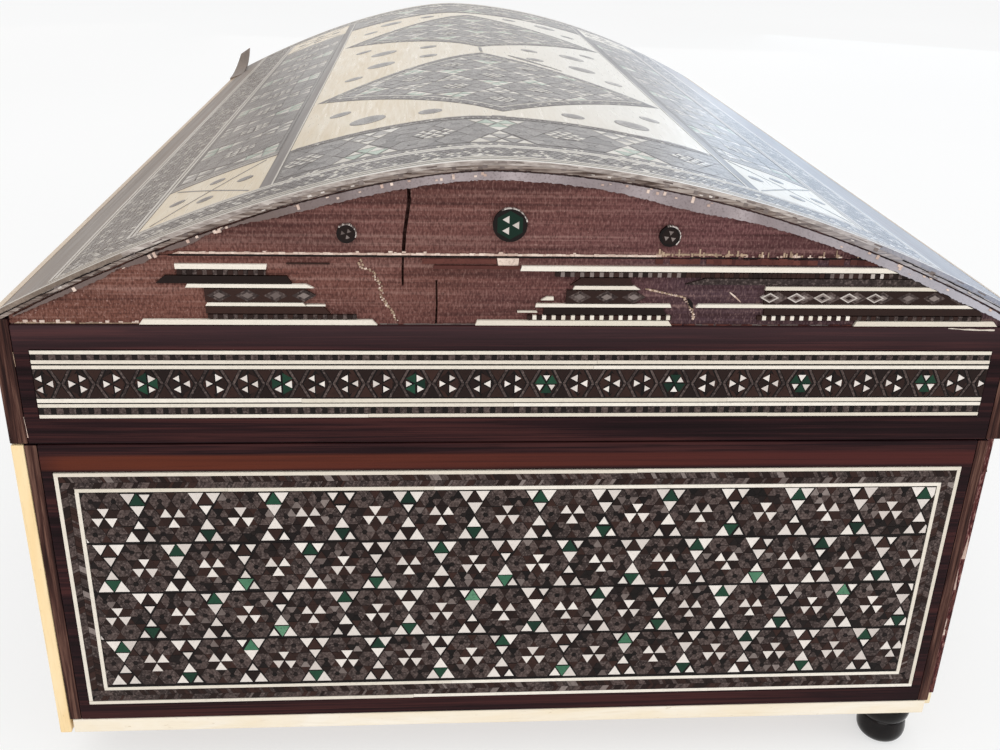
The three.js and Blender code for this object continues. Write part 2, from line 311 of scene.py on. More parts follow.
def inset_tiles(points, counts, gap):
    """Moves every side of each tile in by the gap: a corner moves by the gap times the sum of its two
    sides' inward normals over one plus their product. A tile with no room for that is dropped."""
    used, after = next_corners(points, counts)
    index = np.arange(points.shape[1])
    before = np.where(index > 0, index - 1, counts[:, None] - 1)
    cross = points[..., 0] * after[..., 1] - points[..., 1] * after[..., 0]
    area = np.where(used, cross, 0).sum(1) / 2
    side = after - points
    length = np.hypot(side[..., 0], side[..., 1])
    outline = np.where(used, length, 0).sum(1)
    inward = joined(-side[..., 1], side[..., 0]) / np.maximum(length, 1e-9)[..., None]
    other = np.take_along_axis(inward, before[..., None], 1)
    product = (inward * other).sum(-1)
    moved = gap[:, None, None] * (inward + other) / np.maximum(1 + product, 0.3)[..., None]
    room = 2 * area / np.maximum(outline, 1e-9)
    return points + moved, (room > 2.1 * gap) & (area > 0.02)


def lay_tiles(name, pattern, place, palette, top=0.05, sunk=0.35, replaced=(),
              relief=0.02, arched=False):
    """Closed prisms from a flat pattern: each tile's outline stands on the surface at a height of its
    own close to "top" and goes down by "sunk", with a face above, a face below and one for each side."""
    points_all, sizes_all, corners_all, kinds_all, tone_all, normals_all = [], [], [], [], [], []
    first = 0
    for points, counts, kinds, tone, gap, rise in pattern.batches:
        points, kept = inset_tiles(points, counts, gap)
        for count in np.unique(counts[kept]):
            chosen = kept & (counts == count)
            flat = points[chosen][:, :count]
            n = len(flat)
            lift = top + rise[chosen][:, None] + relief * (rng.random((n, 1)) - 0.5)
            upper = place(flat, lift)
            lower = place(flat, -sunk + 0 * lift)
            ring = np.arange(count)
            after = (ring + 1) % count
            starts = first + 2 * count * np.arange(n)[:, None]
            low_starts = starts + count
            sides = joined(low_starts + ring, low_starts + after, starts + after, starts + ring)
            points_all.append(np.concatenate([upper, lower], 1).reshape(-1, 3))
            corners_all += [(starts + ring).ravel(), (low_starts + ring[::-1]).ravel(), sides.ravel()]
            sizes_all += [np.full(2 * n, count), np.full(n * count, 4)]
            kinds_all += [np.tile(kinds[chosen], 2), np.repeat(kinds[chosen], count)]
            tone_all.append(np.repeat(tone[chosen], 2 * count))
            first += 2 * count * n
            if arched:
                up = arch_normal(flat[..., 0]).reshape(-1, 3)
                normals_all += [up, np.zeros((5 * n * count, 3))]
    arrays = [np.concatenate(a) for a in (points_all, sizes_all, corners_all, kinds_all, tone_all)]
    mesh = fill_mesh(name, *arrays[:3], palette, *arrays[3:])
    if arched:
        mesh.normals_split_custom_set(np.concatenate(normals_all).astype(np.float32))
    return new_object(name, mesh, replaced)


def ring_points(middles, radius, corners, turn):
    """Regular polygons round many middles."""
    angles = turn + 2 * math.pi * np.arange(corners) / corners
    return np.asarray(middles, float)[..., None, :] + on_circle(angles, radius)


def rectangles(u0, u1, v0, v1):
    """Rectangles from arrays of limits."""
    u0, u1, v0, v1 = np.broadcast_arrays(*(np.asarray(a, float) for a in (u0, u1, v0, v1)))
    return np.stack([joined(u0, v0), joined(u1, v0), joined(u1, v1), joined(u0, v1)], -2)


# Materials


def make(tree, kind, values=None, **settings):
    """Adds one node. A value that is another node's output is linked, and anything else is set."""
    node = tree.nodes.new(kind)
    for key, value in settings.items():
        setattr(node, key, value)
    for key, value in (values or {}).items():
        if isinstance(value, bpy.types.NodeSocket):
            tree.links.new(value, node.inputs[key])
        else:
            node.inputs[key].default_value = value
    return node


def linear(colour):
    """A colour as seen on a screen, red, green and blue up to 255, as the shader wants it. A socket or a
    colour with four parts stays as it is."""
    if isinstance(colour, bpy.types.NodeSocket) or len(colour) == 4:
        return colour
    parts = [c / 255 for c in colour]
    return (*(c / 12.92 if c <= 0.04045 else ((c + 0.055) / 1.055) ** 2.4 for c in parts), 1)


def start_material(name):
    """A new material, its tree and its shader."""
    material = bpy.data.materials.new(name)
    material.use_nodes = True
    return material, material.node_tree, material.node_tree.nodes["Principled BSDF"]


def finish_material(tree, shader, colour, pattern, roughness, specular, height, depth, strength):
    """Links the colour, a roughness between two values that follows a pattern, and a relief."""
    tree.links.new(colour, shader.inputs["Base Color"])
    tree.links.new(spread(tree, pattern, 0.3, 0.7, *roughness), shader.inputs["Roughness"])
    shader.inputs["Specular IOR Level"].default_value = specular
    relief = make(tree, "ShaderNodeBump", {"Height": height, "Distance": depth * MM, "Strength": strength})
    tree.links.new(relief.outputs["Normal"], shader.inputs["Normal"])


def object_places(tree, scale):
    """Object coordinates in millimetres, times a scale for each axis."""
    source = make(tree, "ShaderNodeTexCoord").outputs["Object"]
    scaled = make(tree, "ShaderNodeMapping", {"Vector": source, "Scale": tuple(s / MM for s in scale)})
    return scaled.outputs["Vector"]


def position(tree):
    """Object coordinates in millimetres, one by one."""
    return split(tree, object_places(tree, (1, 1, 1)))


def noise(tree, scale, detail, roughness=0.55, distortion=0.0):
    """Noise over object coordinates times a scale for each axis."""
    values = {"Vector": object_places(tree, scale), "Scale": 1.0, "Detail": detail, "Roughness": roughness,
              "Distortion": distortion}
    return make(tree, "ShaderNodeTexNoise", values).outputs["Fac"]


def ramp(tree, value, stops):
    """Colour for a value between stops of (place, colour)."""
    node = make(tree, "ShaderNodeValToRGB", {"Fac": value})
    elements = node.color_ramp.elements
    while len(elements) < len(stops):
        elements.new(0.5)
    for element, (place, colour) in zip(elements, stops):
        element.position = place
        element.color = linear(colour)
    return node.outputs["Color"]


def spread(tree, value, low, high, to_low=0.0, to_high=1.0):
    """Stretches low..high to to_low..to_high and stops at both ends."""
    values = {"Value": value, "From Min": low, "From Max": high, "To Min": to_low, "To Max": to_high}
    return make(tree, "ShaderNodeMapRange", values, clamp=True).outputs["Result"]


def blend(tree, share, first, second):
    """Mixes two colours by a share."""
    values = {0: share, 6: linear(first), 7: linear(second)}
    return make(tree, "ShaderNodeMix", values, data_type="RGBA", blend_type="MIX").outputs[2]


def tint(tree, colour, shade, value, low, high, amount=1.0):
    """Mixes in a shade, from nothing where a value is "low" to the full amount where it is "high"."""
    return blend(tree, spread(tree, value, low, high, 0, amount), colour, shade)


def calculate(tree, how, first, second=0.0):
    """One sum with values, named as the shader's node names it."""
    return make(tree, "ShaderNodeMath", {0: first, 1: second}, operation=how).outputs[0]


def times(tree, first, second):
    """Two values multiplied."""
    return calculate(tree, "MULTIPLY", first, second)


def plus(tree, first, second):
    """Two values added."""
    return calculate(tree, "ADD", first, second)


def split(tree, vector):
    """The three parts of a vector."""
    node = make(tree, "ShaderNodeSeparateXYZ", {"Vector": vector})
    return node.outputs["X"], node.outputs["Y"], node.outputs["Z"]


def along(axis, fine, long):
    """Scales for grain that runs along one axis."""
    return tuple(long if i == axis else fine for i in range(3))


def between(tree, value, low, high, soft):
    """One inside low..high and zero outside, with soft edges."""
    up = spread(tree, value, low - soft, low + soft)
    down = spread(tree, value, high - soft, high + soft, 1, 0)
    return times(tree, up, down)


def wood(name, axis, dark, middle, light, roughness=0.45, change=None, specular=0.08):
    """Old wood: broad bands, streaks and fine lines stretched along the grain, dark pores, blotches."""
    material, tree, shader = start_material(name)
    broad = noise(tree, along(axis, 0.16, 0.008), 3, 0.55, 0.4)
    streaks = noise(tree, along(axis, 0.9, 0.014), 4, 0.65)
    lines = noise(tree, along(axis, 3.2, 0.03), 3, 0.6)
    mixed = plus(tree, times(tree, broad, 0.35), times(tree, streaks, 0.4))
    mixed = plus(tree, mixed, times(tree, lines, 0.25))
    colour = ramp(tree, mixed, [(0.42, dark), (0.5, middle), (0.59, light)])
    pores = noise(tree, along(axis, 2.6, 0.09), 2, 0.5)
    pore_mask = spread(tree, pores, 0.6, 0.7)
    colour = blend(tree, times(tree, pore_mask, 0.5), colour, dark)
    if change:
        colour = change(tree, colour)
    height = calculate(tree, "SUBTRACT", lines, times(tree, pore_mask, 0.6))
    gloss = (roughness - 0.07, roughness + 0.12)
    finish_material(tree, shader, colour, streaks, gloss, specular, height, 0.04, 0.5)
    return material


def tile_material(name, low, high, roughness=0.3, grain=0.6, metal=0.0, specular=0.14, fleck=None,
                  change=None):
    """One kind of mosaic tile: colour between two shades by the tile's own tone, with fine specks, and
    for horn also blocky flecks of a paler and a darker shade."""
    material, tree, shader = start_material(name)
    tone = make(tree, "ShaderNodeAttribute", attribute_name="tone").outputs["Fac"]
    colour = blend(tree, tone, low, high)
    specks = noise(tree, (2.2, 2.2, 2.2), 3, 0.6)
    soft = noise(tree, (0.25, 0.25, 0.25), 2, 0.5)
    darker = (*(0.62 * c for c in linear(low)[:3]), 1)
    colour = tint(tree, colour, darker, specks, 0.52, 0.75, grain)
    colour = tint(tree, colour, darker, soft, 0.4, 0.75, 0.35 * grain)
    if fleck:
        blocks = noise(tree, (1.9, 1.9, 1.9), 2, 0.55)
        colour = tint(tree, colour, fleck[0], blocks, 0.56, 0.62, 0.55)
        colour = tint(tree, colour, fleck[1], blocks, 0.44, 0.38, 0.7)
    if change:
        colour = change(tree, colour)
    shader.inputs["Metallic"].default_value = metal
    gloss = (roughness - 0.05, roughness + 0.12)
    finish_material(tree, shader, colour, specks, gloss, specular, specks, 0.015, 0.6)
    return material


def bone_material(name, axis, pale, warm, dirt, roughness=0.36, amount=0.5, specular=0.35, change=None):
    """Old bone: fine canals along its length, warm clouds, and dirt in the pits."""
    material, tree, shader = start_material(name)
    clouds = noise(tree, along(axis, 0.16, 0.03), 4, 0.6, 0.8)
    colour = tint(tree, pale, warm, clouds, 0.35, 0.68)
    lines = noise(tree, along(axis, 2.4, 0.1), 4, 0.6)
    colour = tint(tree, colour, dirt, lines, 0.55, 0.75, 0.4 * amount)
    pits = noise(tree, along(axis, 1.1, 0.4), 3, 0.6)
    pit_mask = spread(tree, pits, 0.66, 0.76)
    colour = blend(tree, times(tree, pit_mask, amount), colour, dirt)
    if change:
        colour = change(tree, colour)
    height = calculate(tree, "SUBTRACT", lines, pit_mask)
    gloss = (roughness - 0.06, roughness + 0.14)
    finish_material(tree, shader, colour, lines, gloss, specular, height, 0.03, 0.5)
    return material


def toothed_material(name, warm, cool, dark, light, purple):
    """Bare wood scored by a toothing plane: level bands of short upright dashes, orange-brown at the
    left and purple-brown at the right, most of all low down, with pale specks of torn fibre, thickest
    at the left end."""
    material, tree, shader = start_material(name)
    x, _, z = position(tree)
    wander = noise(tree, (0.02, 0.02, 0.05), 2, 0.5)
    side = plus(tree, spread(tree, x, -90, 60), plus(tree, wander, -0.5))
    colour = blend(tree, side, warm, cool)
    low_right = times(tree, spread(tree, z, joint_z + 0.5, joint_z - 1), spread(tree, x, 5, 32))
    colour = blend(tree, low_right, colour, purple)
    rows = noise(tree, (0.014, 0.05, 1.0), 4, 0.65, 0.3)
    colour = tint(tree, colour, dark, rows, 0.5, 0.34, 0.6)
    colour = tint(tree, colour, light, rows, 0.52, 0.68, 0.3)
    broad = noise(tree, (0.02, 0.05, 0.14), 3, 0.5, 0.5)
    colour = tint(tree, colour, dark, broad, 0.5, 0.7, 0.4)
    dashes = noise(tree, (2.9, 1, 1.25), 2, 0.6)
    colour = tint(tree, colour, dark, dashes, 0.5, 0.64, 0.5)
    colour = tint(tree, colour, light, dashes, 0.46, 0.34, 0.18)
    specks = noise(tree, (1.7, 1, 1.5), 3, 0.7)
    reach = plus(tree, specks, spread(tree, x, -97, -60, 0.08, 0))
    colour = tint(tree, colour, light, reach, 0.66, 0.74, 0.6)
    height = plus(tree, dashes, rows)
    finish_material(tree, shader, colour, rows, (0.75, 0.75), 0.12, height, 0.16, 0.7)
    return material


def painted_glare_right(tree, colour):
    """Painted glare: the right flank's edge turns a bluish white, standing for light glancing off it."""
    x, _, _ = position(tree)
    return tint(tree, colour, (196, 198, 208), x, 45, 95, 0.6)


def painted_light_top(tree, colour):
    """Painted light: the end rails are a little paler above the frieze, standing for the light on their upper
    part.
    """
    _, _, z = position(tree)
    return tint(tree, colour, (112, 84, 88), z, base_z + 90, base_z + 96, 0.16)


def red_streak(tree, colour):
    """The near board's sapwood: a level orange-brown streak below the rim, brightest at the left."""
    x, _, z = position(tree)
    wander = noise(tree, (0.012, 0.01, 0.3), 3, 0.6)
    level = plus(tree, z, times(tree, wander, 1.4))
    mask = between(tree, level, base_z + 66.9, base_z + 70.2, 0.35)
    grain = noise(tree, (0.014, 0.05, 1.4), 4, 0.65)
    mask = times(tree, mask, spread(tree, grain, 0.3, 0.55, 0.45, 1))
    x_worn = plus(tree, x, times(tree, grain, 5))
    mask = times(tree, mask, spread(tree, x_worn, 4 - half_width, 12 - half_width))
    red = tint(tree, (92, 43, 28), (74, 34, 32), x, -70, 60)
    red = tint(tree, red, (52, 24, 20), grain, 0.5, 0.7, 0.5)
    return blend(tree, mask, colour, red)


def end_faces(tree):
    """One on faces that look along the box, and zero elsewhere."""
    _, across, _ = split(tree, make(tree, "ShaderNodeNewGeometry").outputs["Normal"])
    return spread(tree, calculate(tree, "ABSOLUTE", across), 0.6, 0.8)


def end_grain(tree, colour):
    """On faces that look along the box the side boards show their ends, with upright fibres."""
    streaks = noise(tree, (1.5, 0.05, 0.05), 4, 0.65)
    fibre = ramp(tree, streaks, [(0.36, (36, 20, 18)), (0.5, (68, 42, 36)), (0.66, (110, 80, 68))])
    return blend(tree, end_faces(tree), colour, fibre)


def raw_corner(tree, colour):
    """The right board: its end grain, and raw fibre in the rebate of the lost corner strip."""
    colour = end_grain(tree, colour)
    x, y, _ = position(tree)
    mask = times(tree, spread(tree, x, half_width - 2.9, half_width - 2.6),
                 spread(tree, y, -half_length + 2.6, -half_length + 2.9, 1, 0))
    flecks = noise(tree, (1.6, 1.6, 0.5), 4, 0.7)
    raw = ramp(tree, flecks, [(0.38, (48, 20, 22)), (0.52, (92, 44, 44)), (0.68, (176, 140, 130))])
    return blend(tree, mask, colour, raw)


def old_board_edge(tree, colour):
    """The dome board is plain inside and dark with age on its two end edges, which turn a bluish white
    towards the right as painted glare.
    """
    away = calculate(tree, "ABSOLUTE", position(tree)[1])
    streaks = noise(tree, (0.12, 0.1, 2.2), 4, 0.7)
    aged = ramp(tree, streaks, [(0.38, (72, 58, 52)), (0.5, (128, 114, 106)), (0.64, (164, 152, 144))])
    # painted glare: a bluish white towards the right
    aged = painted_glare_right(tree, aged)
    return tint(tree, colour, aged, away, half_length - 1.2, half_length - 0.6)


def dust_and_sheen(tree, colour):
    """Dust and old wax over the dome, and painted sheen, the haze of light glancing off it: brown-grey to the
    left, pale grey in the middle, bluish white to the right, thickest on both flanks."""
    x, _, _ = position(tree)
    dust_sheen_colour = ramp(tree, spread(tree, x, -100, 100),
                [(0.1, (118, 101, 84)), (0.5, (162, 157, 152)), (0.9, (170, 188, 216))])
    share = plus(tree, spread(tree, x, -80, -15, 0.46, 0.1), spread(tree, x, 10, 85, 0, 0.26))
    return blend(tree, share, colour, dust_sheen_colour)


def pale_edge(tree, colour):
    """Dust and painted sheen over the ground, and on its end faces the pale edge of the sawn veneer, with
    painted glare at the right.
    """
    colour = dust_and_sheen(tree, colour)
    streaks = noise(tree, (0.35, 0.3, 1.6), 3, 0.6)
    sawn = ramp(tree, streaks, [(0.36, (124, 112, 105)), (0.52, (160, 148, 141)), (0.66, (190, 180, 172))])
    # painted glare: the sawn edge turns bluish white at the right
    sawn = painted_glare_right(tree, sawn)
    return blend(tree, end_faces(tree), colour, sawn)


rosewood_shades = (20, 8, 10), (34, 16, 19), (62, 32, 31)
rosewood_x = wood("rosewood_across", 0, *rosewood_shades, change=painted_light_top)
rosewood_front = wood("rosewood_front_board", 0, *rosewood_shades, change=red_streak)
rosewood_side = wood("rosewood_side_boards", 1, *rosewood_shades, change=end_grain)
rosewood_right = wood("rosewood_right_board", 1, *rosewood_shades, change=raw_corner)
# The eaves' rosewood has pale shades: dust and painted sheen, the haze of light glancing off the dome.
rosewood_eave = wood("rosewood_eaves", 1, (88, 76, 70), (118, 104, 96), (148, 132, 122), 0.36,
                     change=dust_and_sheen, specular=0.4)
sandalwood = toothed_material("toothed_sandalwood", (114, 73, 61), (99, 64, 66), (46, 25, 24),
                              (178, 144, 134), (76, 56, 62))
carcass_y = wood("carcass_lengthwise", 1, (112, 82, 54), (140, 106, 74), (164, 130, 94), 0.7,
                 change=old_board_edge)
bone_dirt = (150, 118, 78)
bone_x = bone_material("bone_across", 0, (240, 231, 215), (234, 218, 190), (176, 148, 112))
bone_y = bone_material("bone_lengthwise", 1, (236, 224, 198), (230, 206, 158), bone_dirt)
bone_z = bone_material("bone_upright", 2, (244, 220, 176), (238, 206, 152), bone_dirt)


def whiter_to_right(tree, colour):
    """The panel bone goes from cream at the left to a paler, more neutral white at the right."""
    x, _, _ = position(tree)
    return tint(tree, colour, (222, 221, 216), x, -30, 30, 0.85)


panel_bone = bone_material("bone_panels", 1, (220, 206, 182), (212, 193, 162), (178, 160, 132),
                           0.3, 0.35, 0.5, whiter_to_right)
ebony = wood("polished_ebony", 1, (8, 4, 4), (13, 8, 8), (24, 16, 15), 0.1, specular=0.22)
# The dark band has pale grey shades: dust and painted sheen, the haze of light glancing off the dome.
dome_ebony = wood("dust_sheen_band", 1, (78, 70, 68), (96, 87, 84), (114, 105, 101), 0.34,
                  change=dust_and_sheen, specular=0.5)

def darker_left_glare_right(tree, colour):
    """The edging is darker at the left, and at the right it has painted glare, a bluish white."""
    x, _, _ = position(tree)
    colour = tint(tree, colour, (100, 84, 78), x, -15, -50, 0.9)
    return painted_glare_right(tree, colour)


edging = tile_material("grey_edging", (138, 126, 127), (172, 160, 161), 0.5, 0.8, 0.1,
                       change=darker_left_glare_right)

IVORY, GREEN, PALE_GREEN, WOOD, HORN, DOT, PEWTER = range(7)
STRING, GROUND, RAW, RED, LOW_IVORY, DIM, GLUE = range(7, 14)
mosaic_palette = [
    tile_material("ivory_tile", (202, 192, 185), (230, 222, 214), 0.3, 0.3),
    tile_material("green_tile", (13, 38, 28), (30, 70, 50), 0.32, 0.5),
    tile_material("pale_green_tile", (56, 104, 78), (98, 142, 112), 0.32, 0.8),
    tile_material("wood_tile", (26, 14, 11), (54, 33, 27), 0.36, 0.5),
    tile_material("horn_tile", (50, 40, 38), (84, 70, 66), 0.36, 0.6,
                  fleck=((112, 98, 93), (28, 18, 15))),
    tile_material("dot_tile", (14, 9, 8), (30, 21, 19), 0.4, 0.4),
    tile_material("pewter_tile", (98, 86, 82), (136, 124, 119), 0.4, 0.6, 0.2),
    tile_material("ivory_string", (214, 204, 188), (236, 228, 216), 0.3, 0.35),
    tile_material("joint_ground", (15, 9, 8), (26, 17, 15), 0.5),
    tile_material("raw_fibre", (190, 162, 148), (232, 212, 198), 0.6, 0.9),
    tile_material("red_wood_tile", (68, 34, 31), (104, 60, 52), 0.5, 0.8),
    tile_material("dim_ivory_tile", (178, 168, 160), (212, 203, 196), 0.3, 0.4),
    tile_material("dim_string", (196, 184, 170), (224, 213, 200), 0.3, 0.5),
    tile_material("old_glue", (140, 116, 98), (186, 160, 136), 0.6, 0.9),
]
ground, raw_tile, red_tile = (mosaic_palette[kind] for kind in (GROUND, RAW, RED))

# The dome's tiles are duller and paler, from dust and old wax and from painted sheen, the haze of light
# glancing off the dome
dust_and_sheen_look = {"roughness": 0.3, "specular": 0.55, "change": dust_and_sheen}
dome_ground_tile = tile_material("dust_sheen_ground", (62, 54, 51), (74, 65, 62), 0.3, specular=0.55,
                                 change=pale_edge)
dome_palette = [
    tile_material("dust_sheen_ivory", (208, 200, 187), (228, 222, 212), grain=0.3, **dust_and_sheen_look),
    tile_material("dust_sheen_green", (84, 106, 92), (108, 128, 112), **dust_and_sheen_look),
    tile_material("dust_sheen_pale_green", (150, 170, 152), (180, 196, 178), **dust_and_sheen_look),
    tile_material("dust_sheen_wood", (62, 54, 52), (96, 86, 83), **dust_and_sheen_look),
    tile_material("dust_sheen_horn", (90, 83, 81), (120, 113, 110),
                  fleck=((144, 137, 133), (68, 61, 59)), **dust_and_sheen_look),
    tile_material("dust_sheen_dot", (56, 49, 47), (80, 72, 69), **dust_and_sheen_look),
    tile_material("dust_sheen_pewter", (122, 116, 113), (154, 148, 144), metal=0.15, **dust_and_sheen_look),
    tile_material("dust_sheen_string", (210, 202, 189), (228, 222, 213), grain=0.3, **dust_and_sheen_look),
    dome_ground_tile,
    # in the place of raw fibre
    tile_material("eave_bone", (176, 150, 120), (206, 182, 152), grain=0.5, specular=0.4),
    red_tile,
]

# Star mosaic


def lattice(side, reach):
    """All triangles of a triangular grid within reach of the middle: points pointing up, then down."""
    steps = np.arange(-reach - 1, reach + 1)
    i, j = (a.ravel() for a in np.meshgrid(steps, steps))
    across = np.array([side, 0.0])
    aslant = np.array([side / 2, side * ROOT3 / 2])
    corner = i[:, None] * across + j[:, None] * aslant
    up = np.stack([corner, corner + across, corner + aslant], 1)
    down = np.stack([corner + across, corner + across + aslant, corner + aslant], 1)
    return up, down


def hexagon_size(points):
    """Half width of the flat-topped hexagon round the middle that passes through each point."""
    x, y = np.abs(points[..., 0]), np.abs(points[..., 1])
    return np.maximum(x + y / ROOT3, 2 * y / ROOT3)


def star_sheet(side, middles, upper_green, picture, cuts=2, heart=1.22, heart_cuts=1, jitter=0.05,
               turned_kinds=(GREEN, WOOD)):
    """Star mosaic over many middles. A hexagon of the given side holds seven small hexagons, a third
    its size: the middle one is a rosette of triangles, the six others are horn with a dark dot, and
    dark triangles fill between. Each hexagon has an hourglass of two large triangles on its right, each
    made of small ones, as many along a side as "cuts" says, ivory where they stand the same way and
    green or dark where they are turned.
    "upper_green" says which half of the hourglass is green, "picture" which way the rosette points."""
    sheet = Pattern()
    s = side / 3
    middles = np.asarray(middles, float)
    n = len(middles)
    spots = on_circle(np.arange(6) * math.pi / 3, 2 * s)

    def spread_out(shapes, kinds, gap, loose=jitter, rise=0.0):
        """The same shapes at every middle, each a little out of place."""
        shapes = np.asarray(shapes)
        placed = middles[:, None, None] + shapes[None]
        placed = placed + rng.normal(0, loose, (n, len(shapes), 1, 2))
        kinds = np.broadcast_to(kinds, (n, len(shapes)))
        gap = np.broadcast_to(gap, (n, len(shapes)))
        sheet.add(placed, kinds.ravel(), gap.ravel(), rise=rise)

    up, down = lattice(s, 4)
    for triangles in (up, down):
        middle = triangles.mean(1)
        inside = hexagon_size(middle) < side
        near_spot = np.min([hexagon_size(middle - spot) for spot in [*spots, np.zeros(2)]], 0) < s
        spread_out(triangles[inside & ~near_spot], WOOD, 0.05)

    heart_side = s * heart / heart_cuts
    fine_up, fine_down = lattice(heart_side, 2)
    for turned_down, triangles in enumerate((fine_up, fine_down)):
        inner = triangles[hexagon_size(triangles.mean(1)) < s * heart]
        pale = picture == turned_down
        gap = heart_side * rng.uniform(0.02, 0.06, (n, len(inner)))
        kinds = np.where(pale[:, None], IVORY, WOOD) + np.zeros((1, len(inner)), int)
        spread_out(inner, kinds, np.where(pale[:, None], gap, 0.03), rise=0.03)

    outer = ring_points(spots, s, 6, 0)
    inner = ring_points(spots, 0.25 * s, 6, 0)
    after = np.roll(np.arange(6), -1)
    wedges = np.stack([outer, outer[:, after], inner[:, after], inner], 2).reshape(-1, 4, 2)
    pick = rng.random((n, 36))
    spread_out(wedges, np.select([pick < 0.04, pick < 0.17], [PEWTER, DOT], HORN), 0.03, 0.03)
    spread_out(inner, DOT, 0.03, 0.03)

    for sign in (1, -1):
        corner = np.array([side, 0.0])
        steps = [(i, j) for i in range(cuts) for j in range(cuts - i)]
        small = side / cuts
        aslant_left = np.array([-small / 2, sign * small * ROOT3 / 2])
        aslant_right = np.array([small / 2, sign * small * ROOT3 / 2])
        straight, turned = [], []
        for i, j in steps:
            tip = corner + i * aslant_left + j * aslant_right
            right, left = tip + aslant_right, tip + aslant_left
            straight.append([tip, right, left][::sign])
            if i + j < cuts - 1:
                turned.append([right, right + aslant_left, left][::sign])
        gap = small * rng.choice([0.03, 0.05, 0.08, 0.11], (n, len(straight)), p=[0.35, 0.3, 0.2, 0.15])
        spread_out(straight, IVORY, gap, jitter)
        green = upper_green == (sign > 0)
        kinds = np.where(green[:, None], *turned_kinds) + np.zeros((1, len(turned)), int)
        if cuts == 2:
            kinds = np.where((kinds == GREEN) & (rng.random((n, 1)) < 0.22), PALE_GREEN, kinds)
        spread_out(turned, kinds, 0.05)
    return sheet


def star_grid(pitch, row_pitch, first, rows, columns, offset_row=0):
    """Middles of hexagons in rows, every other row moved half a pitch, with row and column numbers."""
    r, k = (a.ravel() for a in np.meshgrid(np.arange(rows), np.arange(columns), indexing="ij"))
    x = first[0] + pitch * (k + (r % 2 == offset_row) * 0.5)
    y = first[1] + row_pitch * r
    return joined(x, y), r, k


star_side = 6.75
star_pitch = 13.6
star_row_pitch = 12.1
first_star = (-84.0, 18.85)
outer_low, outer_high = (corner[2] - base_z for corner in outer_ring)
inner_low, inner_high = (corner[2] - base_z for corner in inner_ring)
field_low = inner_low + string_room
field_high = inner_high - string_room
field_margin = half_width - inner_ring[1][0] + string_room


def strip_cuts(low, high, mean):
    """Places of butt joints along a strip, about "mean" apart."""
    count = max(1, round((high - low) / mean))
    edges = np.linspace(low, high, count + 1)
    edges[1:-1] += rng.uniform(-0.35, 0.35, count - 1) * mean
    return edges


def add_string(pattern, u0, u1, v0, v1, mean=45, kind=STRING, step=0.05, cuts=None):
    """A string from butt-jointed lengths, each set a trace higher or lower. It runs along its longer side."""
    upright = abs(v1 - v0) > abs(u1 - u0)
    low, high = (v0, v1) if upright else (u0, u1)
    edges = strip_cuts(low, high, mean) if cuts is None else np.array([low, *cuts, high])
    shift = rng.uniform(-step, step, len(edges) - 1)
    if upright:
        shapes = rectangles(u0 + shift, u1 + shift, edges[:-1], edges[1:])
    else:
        shapes = rectangles(edges[:-1], edges[1:], v0 + shift, v1 + shift)
    pattern.add(shapes, kind, 0.015)


def ring_strings(pattern, reach, low, high, mean, cuts=None, low_cuts=None):
    """Four strings round a rectangle, the upright ones between the level ones."""
    top, foot = high - string_width, low + string_width
    add_string(pattern, -reach, reach, low, foot, mean, cuts=low_cuts, step=0.09)
    add_string(pattern, -reach, reach, top, high, mean, cuts=cuts, step=0.12)
    add_string(pattern, -reach, -reach + string_width, foot, top, mean)
    add_string(pattern, reach - string_width, reach, foot, top, mean)


def turned(pattern):
    """The same tiles with u and v exchanged, kept anticlockwise."""
    result = Pattern()
    for points, counts, *values in pattern.batches:
        flipped = points[..., ::-1]
        index = np.arange(points.shape[1])
        back = np.where(index < counts[:, None], counts[:, None] - 1 - index, index)
        result.batches.append([np.take_along_axis(flipped, back[..., None], 1), counts, *values])
    return result


def border_run(u0, u1, v0, v1, pitch=3.1):
    """One straight length of the dark border, cut to its rectangle: long and short slivers of horn and
    dark wood that lean one way below and the other way above. An upright length is laid level, then
    turned."""
    if abs(v1 - v0) > abs(u1 - u0):
        return turned(border_run(v0, v1, u0, u1))
    run = Pattern()
    x = u0 + pitch * np.arange(int((u1 - u0) / pitch) + 2)
    middle = (v0 + v1) / 2
    for low, high, lean in ((v0, middle, pitch / 4), (middle, v1, -pitch / 4)):
        for share, width in ((0, 0.5), (0.5, 0.3), (0.8, 0.2)):
            left = x + pitch * share
            right = left + pitch * width
            tips = [(left, low), (right, low), (right + lean, high), (left + lean, high)]
            pick = rng.random(len(x))
            kinds = np.select([pick < 0.55, pick < 0.59], [HORN, PEWTER], WOOD)
            run.add(np.stack([joined(a, b) for a, b in tips], 1), kinds, 0.035)
    return run.clipped(box_limits(u0, u1, v0, v1))


def dotted_run(pattern, u0, u1, v0, v1, pitch, dark, pale, share):
    """A strip of squares in two woods by turns."""
    x = np.arange(u0, u1, pitch)
    dark_end = np.minimum(x + pitch * share, u1)
    pattern.add(rectangles(x, dark_end, v0, v1), dark, 0.03)
    x = x[x + pitch * share < u1]
    pattern.add(rectangles(x + pitch * share, np.minimum(x + pitch, u1), v0, v1), pale, 0.03)


